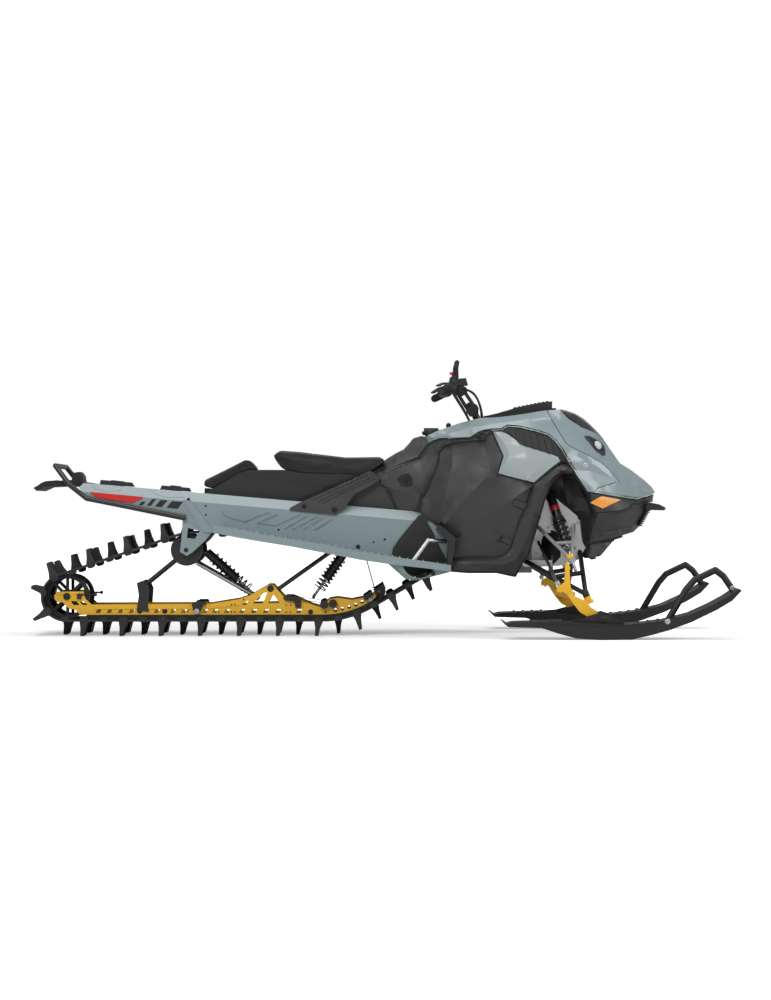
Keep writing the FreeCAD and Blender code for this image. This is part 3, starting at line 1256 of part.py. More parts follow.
def build_body():
    skin = body_skin()
    NODES["hood"] = biggest(panel(skin, HOOD_SHARES), 1)
    NODES["nose_cone"] = biggest(panel(skin, NOSE_SHARES), 1)
    NODES["side_grilles"] = biggest(side_grilles(skin), 2)
    NODES["shoulder_panels"] = biggest(panel(skin, SHOULDER_SHARES), 2)
    NODES["side_panels"] = biggest(panel(skin, SIDE_SHARES), 2)
    NODES["frame_rails"] = biggest(panel(body_skin(-RAIL_RISE), PILLAR_SHARES), 1)
    NODES["knee_panels"] = biggest(panel(skin, KNEE_SHARES), 2)
    NODES["tank_cover"] = biggest(panel(skin, TANK_SHARES), 1).fuse(tank_base()).removeSplitter()
    NODES["fascia_upper"] = biggest(panel(skin, FASCIA_UPPER_SHARES), 1)
    NODES["fascia_lower"] = fascia_lower(skin)
    NODES["front_bumper"] = front_bumper()
    NODES["side_reflectors"] = Part.makeCompound([side_reflectors(), amber_reflectors(skin)])


def build_front():
    NODES["bulkhead"] = bulkhead()
    NODES["upper_arms"] = pair(wishbone(UPPER_ARM_PIXELS, UPPER_BALL, LINK_TUBE, 1))
    NODES["lower_arms"] = pair(wishbone(LOWER_ARM_PIXELS, LOWER_BALL, ARM_TUBE, -1))
    NODES["front_shocks"] = pair(front_shock())
    NODES["front_springs"] = pair(front_spring())
    NODES["engine_block"] = engine_block()


def build_skis():
    for name, turn in (("right", lambda shape: shape), ("left", mirror)):
        NODES["ski_" + name] = turn(ski())
        NODES["ski_loop_" + name] = turn(ski_loop())
        NODES["spindle_" + name] = turn(spindle())
        NODES["tie_rod_" + name] = turn(tie_rod())


def build_steering():
    NODES["steering_column"] = steering_column()
    NODES["handlebar"] = handlebar_tube()
    NODES["grips"] = pair(grip())
    NODES["bar_controls"] = bar_controls()
    NODES["display"] = display()
    NODES["steering_post"] = steering_post()
    NODES["grab_strap"] = grab_strap()


def build_fittings():
    """Pieces that sit in or on the bodywork, and the room that they take from it."""
    outer = body_form(0)
    tunnel_room = tunnel_section(0, 0).common(slab(TUNNEL_SIDE_PIXELS, -TUNNEL_HALF, TUNNEL_HALF))
    track_room = box((0, BELLY_CLEAR_X), (-TRACK_HALF - MOVE_GAP * 2, TRACK_HALF + MOVE_GAP * 2), (0, BODY_Z * 2))
    column_room = bar(COLUMN_FOOT - COLUMN_AXIS * FLANGE_THICKNESS, COLUMN_TOP, COLUMN_ROOM)
    window_room = prism(body_outline(WINDSHIELD_SHARES), -WINDSHIELD_HALF, WINDSHIELD_HALF)
    lamp_room = pair(prism(body_outline(LAMP_SHARES), -LAMP_Y[1], -LAMP_Y[0]))
    skin = body_skin()
    NODES["windshield"] = biggest(skin.common(window_room), 1)
    NODES["headlamps"] = biggest(skin.common(lamp_room).cut(window_room), 2)
    NODES["dash_vent"] = prism(body_outline(VENT_SHARES), -VENT_HALF, VENT_HALF).cut(outer).cut(column_room)
    NODES["fuel_cap"] = fuel_cap().cut(outer)
    NODES["toe_bars"] = pair(toe_bar().cut(outer))
    NODES["footwells"] = pair(footwell().cut(outer))
    for name in ("hood", "nose_cone", "side_grilles", "shoulder_panels", "side_panels", "frame_rails", "knee_panels",
                 "tank_cover", "fascia_upper", "fascia_lower", "dash_vent", "front_bumper"):
        shape = NODES[name]
        for room in (tunnel_room, track_room, column_room, window_room, lamp_room):
            shape = shape.cut(room)
        NODES[name] = shape
    cut_from("toe_bars", "running_boards", "footwells")
    cut_from("running_boards", "side_panels", "frame_rails")
    cut_from("footwells", "running_boards", "side_panels", "frame_rails")
    cut_from("engine_block", "bulkhead", "frame_rails")
    cut_from("steering_post", "engine_block", "bulkhead")
    cut_from("dash_vent", "steering_post")
    cut_from("frame_rails", "shoulder_panels")
    cut_from("side_grilles", "hood", "shoulder_panels", "frame_rails")
    for name in ("nose_cone", "fascia_upper", "fascia_lower"):
        cut_from(name, "side_reflectors")
    cut_from("fascia_lower", "nose_cone", "fascia_upper", "hood", "frame_rails", "bulkhead")
    cut_from("front_bumper", "nose_cone", "fascia_upper", "fascia_lower")
    cut_from("tank_cover", "tunnel", "knee_panels")
    for side in ("right", "left"):
        cut_from("ski_loop_" + side, "ski_" + side)
    cut_from("tunnel_brackets", "tunnel", "rear_skid_arm", "running_boards", "skid_shocks")
    cut_from("lower_arms", "bulkhead")
    cut_from("upper_arms", "bulkhead")
    NODES["upper_arms"] = NODES["upper_arms"].cut(pair(front_spring_room()))
    cut_from("front_shocks", "bulkhead", "lower_arms", "upper_arms")
    cut_from("rear_bumper", "tunnel", "tunnel_brackets", "side_reflectors")
    cut_from("snow_flap", "tunnel", "rear_bumper", "tail_lamp")
    cut_from("tail_lamp", "tunnel", "rear_bumper")
    cut_from("tank_cover", "seat_struts")
    cut_from("seat_base", "tunnel", "seat_struts", "seat_pad", "tank_cover", "knee_panels")
    cut_from("seat_struts", "tunnel", "seat_pad", "knee_panels")
    NODES["seat_struts"] = biggest(NODES["seat_struts"], 2)
    cut_from("rear_bag", "seat_base", "tunnel")
    cut_from("seat_pad", "tank_cover", "knee_panels")
    cut_from("cargo_cleats", "tunnel")
    for pixel_x in ANCHOR_PIXELS:
        NODES["tunnel"] = NODES["tunnel"].cut(pair(anchor(pixel_x, ANCHOR_ROOM, -ANCHOR_HEIGHT)))
    cut_from("skid_rails", "rear_skid_arm", "front_skid_arm", "idler_wheels", "slide_shoes", "rear_wheels")
    cut_from("skid_shocks", "rear_skid_arm", "front_skid_arm")


def cut_from(name, *others):
    for other in others:
        NODES[name] = NODES[name].cut(NODES[other])


def save(name, shape):
    if not shape.isValid():
        print("not valid:", name)
    shape.exportStep(os.path.join("parts", name + ".step"))


def main():
    os.makedirs("parts", exist_ok=True)
    for stage in (build_track, build_tunnel, build_body, build_front, build_skis, build_steering, build_fittings):
        stage()
    for name, shape in NODES.items():
        save(name, shape)


main()
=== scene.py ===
import json
import math

import bmesh
import bpy
import numpy as np
from mathutils import Matrix, Vector
from mathutils.bvhtree import BVHTree
from mathutils.geometry import delaunay_2d_cdt


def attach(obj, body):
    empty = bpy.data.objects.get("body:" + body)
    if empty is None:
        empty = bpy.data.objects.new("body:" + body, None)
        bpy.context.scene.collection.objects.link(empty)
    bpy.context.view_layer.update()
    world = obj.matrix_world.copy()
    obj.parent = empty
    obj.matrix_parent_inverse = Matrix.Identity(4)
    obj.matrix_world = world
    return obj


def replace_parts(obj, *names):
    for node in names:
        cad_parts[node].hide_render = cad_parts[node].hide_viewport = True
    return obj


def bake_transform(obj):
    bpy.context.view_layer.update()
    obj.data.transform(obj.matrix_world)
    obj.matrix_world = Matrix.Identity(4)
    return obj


# Looks for the snowmobile: materials on the CAD pieces, finer pieces over the plain ones, studio and camera.
# Metres, in the CAD frame: +X forward, +Z up, the near side at -Y. Pairs of (x, y) are pixels of the photograph.

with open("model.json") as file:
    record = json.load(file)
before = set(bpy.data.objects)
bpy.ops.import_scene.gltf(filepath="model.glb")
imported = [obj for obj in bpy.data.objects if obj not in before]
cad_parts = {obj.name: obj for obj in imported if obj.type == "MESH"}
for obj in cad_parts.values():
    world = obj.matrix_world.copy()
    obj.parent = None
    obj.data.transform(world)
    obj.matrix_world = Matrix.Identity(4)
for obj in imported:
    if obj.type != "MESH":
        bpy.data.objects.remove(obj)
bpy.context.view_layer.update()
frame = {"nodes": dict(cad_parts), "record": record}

# The photograph's frame and the camera solved from it
FOCAL_PIXELS = 2329.0
LONG_SIDE_PIXELS = 1000.0
MIDDLE_PIXEL = (348.0, 505.0)
SENSOR = 36.0
CAMERA_PLACE = (-0.140, -10.9, 0.602)
CAMERA_YAW = math.radians(0.92)
CAMERA_PITCH = math.radians(0.12)

NEAR = (0, -1, 0)
FAR = (0, 1, 0)
UP = (0, 0, 1)
DOWN = (0, 0, -1)
# A small step into or off a surface, so that no two faces lie in one plane
OFFSET = 0.002
WELD_DISTANCE = 1e-5
WHITE = (1.0, 1.0, 1.0, 1.0)


# Materials

COAT_ROUGHNESS = 0.08
NOISE_ROUGHNESS = 0.55
FINE_BUMP = 0.0004
DEEP_BUMP = 0.0008
WEAVE_BUMP = 0.0005
WEAVE_SCALE = 150.0
SHEEN = 0.25


def configured(target, **settings):
    for key, value in settings.items():
        setattr(target, key, value)
    return target


class Shader:
    """A material with one principled shader and short calls for the nodes that feed it."""

    def __init__(self, name, roughness, metallic=0.0, coat=0.0, specular=0.5):
        self.material = bpy.data.materials.new(name)
        self.material.use_nodes = True
        self.tree = self.material.node_tree
        self.inputs = self.tree.nodes["Principled BSDF"].inputs
        for key, value in (("Roughness", roughness), ("Metallic", metallic), ("Coat Weight", coat),
                           ("Coat Roughness", COAT_ROUGHNESS), ("Specular IOR Level", specular)):
            self.inputs[key].default_value = value
        self.coords = self.node("ShaderNodeTexCoord").outputs["Object"]

    def node(self, kind, values=None, **settings):
        """A node with its settings, whose inputs are numbers or the sockets of other nodes."""
        made = configured(self.tree.nodes.new(kind), **settings)
        for key, value in (values or {}).items():
            if isinstance(value, bpy.types.NodeSocket):
                self.tree.links.new(value, made.inputs[key])
            else:
                made.inputs[key].default_value = value
        return made

    def noise(self, scale, detail, stretch=(1, 1, 1)):
        mapping = self.node("ShaderNodeMapping", {"Scale": stretch, "Vector": self.coords})
        return self.node("ShaderNodeTexNoise", {"Scale": scale, "Detail": detail, "Roughness": NOISE_ROUGHNESS,
                                                "Vector": mapping.outputs["Vector"]}).outputs["Fac"]

    def voronoi(self, scale):
        return self.node("ShaderNodeTexVoronoi", {"Scale": scale, "Vector": self.coords}).outputs["Distance"]

    def wave(self, direction):
        return self.node("ShaderNodeTexWave", {"Scale": WEAVE_SCALE, "Vector": self.coords},
                         bands_direction=direction).outputs["Fac"]

    def spread(self, value, low, high, out_low, out_high, **settings):
        return self.node("ShaderNodeMapRange", {"From Min": low, "From Max": high, "To Min": out_low,
                                                "To Max": out_high, "Value": value}, **settings).outputs["Result"]

    def times(self, first, second):
        return self.node("ShaderNodeMath", {0: first, 1: second}, operation="MULTIPLY").outputs["Value"]

    def look(self, tone, dark, light, height, strength, distance, rough=None):
        """The finished material: colour, roughness and bump from patterns."""
        mix = self.node("ShaderNodeMix", {"A": (*dark, 1.0), "B": (*light, 1.0), "Factor": tone}, data_type="RGBA")
        links = self.tree.links
        links.new(mix.outputs["Result"], self.inputs["Base Color"])
        if rough:
            grain, low, high = rough
            links.new(self.spread(grain, 0.3, 0.7, low, high), self.inputs["Roughness"])
        bump = self.node("ShaderNodeBump", {"Strength": strength, "Distance": distance, "Height": height})
        links.new(bump.outputs["Normal"], self.inputs["Normal"])
        return self.material


def painted(name, dark, light, roughness, coat, orange_peel=0.05):
    paint = Shader(name, roughness, coat=coat)
    return paint.look(paint.noise(2.2, 4.0), dark, light, paint.noise(420.0, 1.0), orange_peel, FINE_BUMP,
                      (paint.noise(9.0, 5.0), roughness - 0.05, roughness + 0.08))


def moulded(name, dark, light, roughness=0.5, grain=900.0, strength=0.25):
    plastic = Shader(name, roughness, specular=0.45)
    return plastic.look(plastic.noise(6.0, 5.0), dark, light, plastic.voronoi(grain), strength, FINE_BUMP,
                        (plastic.noise(14.0, 5.0), roughness - 0.07, roughness + 0.1))


def rubber(name, dark, light):
    black = Shader(name, 0.7, specular=0.35)
    return black.look(black.noise(9.0, 6.0), dark, light, black.noise(260.0, 5.0), 0.35, DEEP_BUMP,
                      (black.noise(20.0, 5.0), 0.58, 0.85))


def brushed(name, dark, light, roughness=0.34):
    metal = Shader(name, roughness, metallic=1.0)
    streak = metal.noise(18.0, 4.0, (1.0, 26.0, 26.0))
    return metal.look(streak, dark, light, streak, 0.12, FINE_BUMP, (streak, roughness - 0.08, roughness + 0.12))


def lens(name, dark, light, cells, rough=0.12, coat=1.0):
    glass = Shader(name, rough, coat=coat)
    pattern = glass.voronoi(cells)
    return glass.look(pattern, dark, light, pattern, 0.4, DEEP_BUMP)


def cloth(name, dark, light):
    cover = Shader(name, 0.75, specular=0.3)
    cover.inputs["Sheen Weight"].default_value = SHEEN
    weave = cover.times(cover.wave("X"), cover.wave("Y"))
    return cover.look(cover.noise(7.0, 5.0), dark, light, weave, 0.3, WEAVE_BUMP,
                      (cover.noise(18.0, 4.0), 0.62, 0.85))


# Each slot's look; the last three are for small pieces and faces without a slot of their own
LOOKS = {
    "track_rubber": (rubber, (0.022, 0.022, 0.023), (0.040, 0.040, 0.041)),
    "black_rubber": (rubber, (0.012, 0.012, 0.013), (0.024, 0.024, 0.025)),
    "yellow_paint": (painted, (0.84, 0.455, 0.008), (0.92, 0.52, 0.012), 0.36, 0.3),
    "black_paint": (painted, (0.008, 0.008, 0.009), (0.014, 0.014, 0.015), 0.36, 0.15),
    "arm_grey": (painted, (0.28, 0.29, 0.30), (0.36, 0.37, 0.38), 0.4, 0.2),
    "body_grey": (painted, (0.215, 0.275, 0.29), (0.245, 0.31, 0.325), 0.34, 0.35),
    "body_light": (painted, (0.30, 0.345, 0.355), (0.34, 0.385, 0.395), 0.34, 0.35),
    "dark_panel": (moulded, (0.027, 0.027, 0.028), (0.037, 0.037, 0.038), 0.46, 1300.0, 0.12),
    "black_plastic": (moulded, (0.012, 0.012, 0.013), (0.022, 0.022, 0.023)),
    "ski_plastic": (moulded, (0.010, 0.010, 0.011), (0.018, 0.018, 0.019), 0.42, 500.0, 0.12),
    "bare_aluminium": (brushed, (0.52, 0.53, 0.54), (0.70, 0.71, 0.72)),
    "bare_steel": (brushed, (0.42, 0.42, 0.43), (0.62, 0.62, 0.63), 0.3),
    "cast_metal": (moulded, (0.16, 0.16, 0.16), (0.26, 0.26, 0.26), 0.6, 300.0, 0.4),
    "seat_cover": (cloth, (0.014, 0.014, 0.015), (0.024, 0.024, 0.025)),
    "red_lens": (lens, (0.52, 0.008, 0.008), (0.66, 0.014, 0.010), 90.0, 0.4, 0.1),
    "dark_lens": (painted, (0.012, 0.012, 0.013), (0.018, 0.018, 0.019), 0.12, 1.0, 0.0),
    "clear_lens": (lens, (0.45, 0.47, 0.48), (0.70, 0.72, 0.73), 45.0),
    "amber_lens": (lens, (0.80, 0.28, 0.03), (0.95, 0.42, 0.07), 90.0, 0.4, 0.1),
    "red_mark": (painted, (0.45, 0.012, 0.010), (0.6, 0.02, 0.016), 0.4, 0.3),
    # A darker copy of the body grey: painted shade for the shaded sides of the tunnel's pressed lines
    "stamp": (painted, (0.135, 0.172, 0.182), (0.155, 0.196, 0.206), 0.4, 0.2),
}
MATERIALS = {slot: look[0](slot + "_look", *look[1:]) for slot, look in LOOKS.items()}


# Places: the camera's rays through the photograph's pixels meet the CAD surfaces

TREES = {}
PIECES = {}
# Where a pixel's ray that misses is taken to be
MISSED_DEPTH = -0.25
MISSED_BODY_DEPTH = -0.26


def at(pixel, y):
    """The point of a pixel's ray at this Y."""
    reach = y - CAMERA_PLACE[1]
    across = (pixel[0] - MIDDLE_PIXEL[0]) / FOCAL_PIXELS
    up = (MIDDLE_PIXEL[1] - pixel[1]) / FOCAL_PIXELS
    return Vector((CAMERA_PLACE[0] + across * reach, y, CAMERA_PLACE[2] + up * reach))


def spots(pixels, y):
    return [at(pixel, y) for pixel in pixels]


def tree(names):
    """A search tree over the faces of these CAD nodes and pieces."""
    if names not in TREES:
        points, faces = [], []
        for name in names:
            mesh = (PIECES.get(name) or frame["nodes"][name]).data
            base = len(points)
            points += [v.co.copy() for v in mesh.vertices]
            faces += [[base + index for index in polygon.vertices] for polygon in mesh.polygons]
        TREES[names] = BVHTree.FromPolygons(points, faces)
    return TREES[names]


def found_from(start, way, *names):
    """Where a ray from the start meets these nodes, or nothing."""
    return tree(names).ray_cast(Vector(start), Vector(way))[0]


def hit(pixel, *names):
    """The first surface of these nodes behind a pixel, and its normal toward the camera."""
    origin = Vector(CAMERA_PLACE)
    way = (at(pixel, 0.0) - origin).normalized()
    place, normal, _, _ = tree(names).ray_cast(origin, way)
    if place is None:
        place, normal, _, _ = tree(names).find_nearest(at(pixel, MISSED_DEPTH))
    if normal.dot(way) > 0:
        normal = -normal
    return place, normal


def sampled(corners, step, closed=False):
    """Points along a line of (x, y) or (x, y, depth) corners, with the depth shared out between its ends."""
    points = []
    for first, last in zip(corners, corners[1:] + corners[:1] if closed else corners[1:]):
        count = max(1, round(math.dist(first[:2], last[:2]) / step))
        for index in range(count):
            share = index / count
            point = [a + (b - a) * share for a, b in zip(first, last)]
            points.append((point + [None])[:3])
    if not closed:
        points.append((list(corners[-1]) + [None])[:3])
    return points


def trace(pixels, step, *names):
    """Points and normals along a line of pixels, as it lies on these nodes."""
    return [hit(point[:2], *names) for point in sampled(pixels, step)]


# Mesh tools

def both_sides(bm):
    """Adds the mirror image on the far side."""
    twin = bmesh.ops.duplicate(bm, geom=bm.verts[:] + bm.edges[:] + bm.faces[:])["geom"]
    for item in twin:
        if isinstance(item, bmesh.types.BMVert):
            item.co.y = -item.co.y
    bmesh.ops.reverse_faces(bm, faces=[item for item in twin if isinstance(item, bmesh.types.BMFace)])
    return bm


def frame_of(normal):
    """Axes with Z along the normal."""
    z = Vector(normal).normalized()
    x = Vector(UP).cross(z)
    if x.length < 1e-4:
        x = Vector((1, 0, 0)).cross(z)
    x.normalize()
    return Matrix((x, z.cross(x), z)).transposed()


def skin(bm, rings, closed=False):
    """Faces from ring to ring, with caps on the ends of an open run."""
    turns = len(rings[0])
    for first, last in zip(rings, rings[1:] + rings[:1] if closed else rings[1:]):
        for k in range(turns):
            bm.faces.new((first[k], first[(k + 1) % turns], last[(k + 1) % turns], last[k]))
    if not closed:
        bm.faces.new(list(reversed(rings[0])))
        bm.faces.new(rings[-1])


def sweep(bm, points, section, closed=False, up=UP):
    """Carries a closed section of (across, out) pairs along (place, normal) points."""
    count = len(points)
    places = [Vector(p[0]) for p in points]
    rings = []
    for index, (_, normal) in enumerate(points):
        ahead = places[min(index + 1, count - 1)] if not closed else places[(index + 1) % count]
        behind = places[max(index - 1, 0)] if not closed else places[index - 1]
        along = (ahead - behind).normalized()
        side = along.cross(Vector(up if normal is None else normal))
        if side.length < 1e-5:
            side = along.cross(Vector(FAR))
        side.normalize()
        out = side.cross(along)
        rings.append([bm.verts.new(places[index] + side * a + out * b) for a, b in section])
    skin(bm, rings, closed)


def band(low_half, top_half, low, top):
    """The section of a strip, from its half widths and heights."""
    return [(-low_half, low), (low_half, low), (top_half, top), (-top_half, top)]


def circle(radius, sides):
    return [(radius * math.cos(2 * math.pi * k / sides), radius * math.sin(2 * math.pi * k / sides))
            for k in range(sides)]


def tube(bm, points, radius, sides=10, closed=False):
    sweep(bm, [(p, None) for p in points], circle(radius, sides), closed, up=(0.03, 0.999, 0.02))


def rounded(points, rounds=2):
    """Cuts the corners of an open line a few times."""
    for _ in range(rounds):
        cut = [points[0]]
        for first, last in zip(points, points[1:]):
            cut += [first.lerp(last, 0.25), first.lerp(last, 0.75)]
        points = cut + [points[-1]]
    return points


def lathe(bm, place, axis, profile, turns=24, closed=False):
    """Turns a profile of (radius, height) pairs about an axis."""
    axes = frame_of(axis)
    skin(bm, [[bm.verts.new(Vector(place) + axes @ Vector((x, y, height))) for x, y in circle(radius, turns)]
              for radius, height in profile], closed)


def bolt(bm, place, normal, radius, sides=6):
    """A bolt head on its washer, with a socket in it."""
    height = radius * 0.8
    thin = height * 0.25
    top = thin + height
    foot = Vector(place) - Vector(normal) * thin
    lathe(bm, foot, normal, [(radius * 1.45, 0), (radius * 1.45, thin * 1.6), (radius * 1.35, thin * 2)], 18)
    lathe(bm, foot, normal, [(radius, 0), (radius, top * 0.85), (radius * 0.86, top), (radius * 0.5, top),
                             (radius * 0.46, top * 0.45), (radius * 0.1, top * 0.4)], sides)


def plate(bm, outline, normal, depth, bevel=0.0):
    """A flat piece from its outline's points, raised along the normal, with a bevelled front edge."""
    out = Vector(normal).normalized()
    middle = sum(outline, Vector()) / len(outline)
    rings = []
    for rise, inset in [(0.0, 0.0), (depth - bevel, 0.0), (depth, bevel)] if bevel else [(0.0, 0.0), (depth, 0.0)]:
        ring = []
        for p in outline:
            inward = middle - p
            inward -= out * inward.dot(out)
            ring.append(bm.verts.new(p + out * rise + inward * (inset / inward.length if inward.length else 0)))
        rings.append(ring)
    skin(bm, rings)


def finish_piece(name, bm, slot, body="chassis", look=None, angle=35.0):
    """Turns a bmesh into a piece that rides a body, smooth but for its sharp edges."""
    bmesh.ops.recalc_face_normals(bm, faces=bm.faces[:])
    obj = mesh_object(name, bm)
    obj.data.set_sharp_from_angle(angle=math.radians(angle))
    return dressed(obj, slot, body, look)


def mesh_object(name, bm, smooth=True):
    """A new mesh object from a bmesh, which is freed."""
    mesh = bpy.data.meshes.new(name)
    bm.to_mesh(mesh)
    bm.free()
    obj = bpy.data.objects.new(name, mesh)
    bpy.context.scene.collection.objects.link(obj)
    for polygon in mesh.polygons:
        polygon.use_smooth = smooth
    return obj


def dressed(obj, slot, body="chassis", look=None):
    """Gives a piece the material of its slot or look, and its body."""
    obj.data.materials.clear()
    obj.data.materials.append(MATERIALS[look or slot])
    if body:
        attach(obj, body)
    PIECES[obj.name] = obj
    return obj


# The CAD nodes: materials, some of them by face, and smooth shading over their curves

SHOCK_PIXELS = {"rear": ((258, 598), (207, 552)), "front": ((314, 596), (344, 553)), "link": ((258, 598), (197, 563))}
FRONT_SHOCK_TOP = at((550, 494), -0.150)
FRONT_SHOCK_LOW = at((576, 571), -0.2875)
# Corners are joined on a grid of this many steps to the metre, and faces that turn less than the angle look smooth
WELD_STEPS = 50000
SMOOTH_ANGLE = math.radians(32)


def by_face(node, slot, chosen):
    """Gives the faces for which chosen(centre, normal) holds another slot's material."""
    mesh = frame["nodes"][node].data
    mesh.materials.append(MATERIALS[slot])
    last = len(mesh.materials) - 1
    for polygon in mesh.polygons:
        if chosen(polygon.center, polygon.normal):
            polygon.material_index = last


def near_line(start, end, share, reach):
    """A test for faces that lie along the first share of the line between two points."""
    span = start.lerp(end, share) - start

    def test(centre, normal):
        point = Vector((centre.x, -abs(centre.y), centre.z))
        along = max(0.0, min(1.0, (point - start).dot(span) / span.length_squared))
        return (point - start - span * along).length < reach

    return test


def dress_nodes():
    """Each carried-over node takes the material of its slot in the record."""
    for entry in frame["record"]["subparts"]:
        obj = frame["nodes"][entry["node"]]
        obj.data.materials.clear()
        obj.data.materials.append(MATERIALS[entry["material_slot"]])
    rods = [near_line(*spots(SHOCK_PIXELS[name], depth), share, reach) for name, depth, share, reach in (
        ("rear", 0.0, 0.40, 0.0085), ("front", 0.0, 0.40, 0.0085), ("link", -0.060, 1.0, 0.0115))]
    by_face("side_reflectors", "amber_lens", lambda centre, normal: centre.x > 0)
    by_face("skid_shocks", "black_paint", lambda centre, normal: not any(rod(centre, normal) for rod in rods))
    by_face("front_shocks", "bare_steel", near_line(FRONT_SHOCK_LOW, FRONT_SHOCK_TOP, 0.39, 0.009))
    by_face("tail_lamp", "black_plastic", lambda centre, normal: normal.x > -0.5)


def values_of(items, key, width=1):
    """One value or vector of each vertex, loop or polygon, as an array."""
    flat = np.empty(len(items) * width, float if key in ("co", "normal", "area") else np.int64)
    items.foreach_get(key, flat)
    return flat.reshape(-1, width) if width > 1 else flat


def soften(mesh):
    """Smooth shading across gentle edges: each corner's normal is the mean of the near faces that turn little."""
    corners = values_of(mesh.loops, "vertex_index")
    keys = np.round(values_of(mesh.vertices, "co", 3) * WELD_STEPS).astype(np.int64)
    same = np.unique(keys, axis=0, return_inverse=True)[1].reshape(-1)[corners]
    faces = np.repeat(np.arange(len(mesh.polygons)), values_of(mesh.polygons, "loop_total"))
    normals = values_of(mesh.polygons, "normal", 3)
    areas = values_of(mesh.polygons, "area")
    order = np.argsort(same, kind="stable")
    ends = np.flatnonzero(np.diff(same[order])) + 1
    out = np.empty((len(corners), 3))
    for group in np.split(order, ends):
        own = normals[faces[group]]
        close = (own @ own.T > math.cos(SMOOTH_ANGLE)) * areas[faces[group]]
        mean = close @ own
        out[group] = mean / np.maximum(np.linalg.norm(mean, axis=1, keepdims=True), 1e-9)
    mesh.polygons.foreach_set("use_smooth", np.ones(len(mesh.polygons), bool))
    mesh.normals_split_custom_set(out.tolist())


# Body panels: skins drawn in the photograph's pixels, with creases, rolled edges and a rim. Depths are in mm; a panel
# with a base follows the CAD body's own depth instead, and its lines rise over it by their rises in mm.

BODY_NODES = ("hood", "nose_cone", "side_grilles", "shoulder_panels", "side_panels", "frame_rails", "knee_panels",
              "tank_cover", "fascia_upper", "fascia_lower")
SEALS = []
# Seals lie this far behind the panels' edges, and only where these are further out than the limit
SEAL_SINK = Vector((0, 0.0055, 0))
SEAL_LIMIT_Y = -0.10
# Between its drawn lines a panel is filled with points, whose depths settle between those of the lines
FILL_SHARE = 0.55
SETTLING_ROUNDS = 500
KEEP_INSIDE = 1
MERGE_PIXELS = 0.02
ON_MIDDLE = 1e-4


def depth_of(pixel, base):
    origin = Vector(CAMERA_PLACE)
    place = tree(base).ray_cast(origin, (at(pixel, 0.0) - origin).normalized())[0]
    if place is None:
        place = tree(base).find_nearest(at(pixel, MISSED_BODY_DEPTH))[0]
    return place.y


def panel_seals():
    """Black strips behind the gaps between the panels."""
    bm = bmesh.new()
    for loop in SEALS:
        runs = [[]]
        for place in loop:
            if place.y < SEAL_LIMIT_Y:
                runs[-1].append((place + SEAL_SINK, NEAR))
            elif runs[-1]:
                runs.append([])
        for run in runs:
            if len(run) > 3:
                sweep(bm, run, band(0.009, 0.009, -0.001, 0.001), closed=len(run) == len(loop))
    finish_piece("panel_seals", both_sides(bm), "black_rubber")


def settled(points, links, heights, held):
    """Heights that each take the mean of their neighbours, but for the held ones."""
    pairs = np.array([tuple(link) for link in links])
    counts = np.maximum(np.bincount(pairs.ravel(), minlength=len(points)), 1)
    heights[~held] = heights[held].mean()
    for _ in range(SETTLING_ROUNDS):
        total = np.bincount(pairs[:, 0], heights[pairs[:, 1]], len(points))
        total += np.bincount(pairs[:, 1], heights[pairs[:, 0]], len(points))
        heights = np.where(held, heights, total / counts)
    return heights


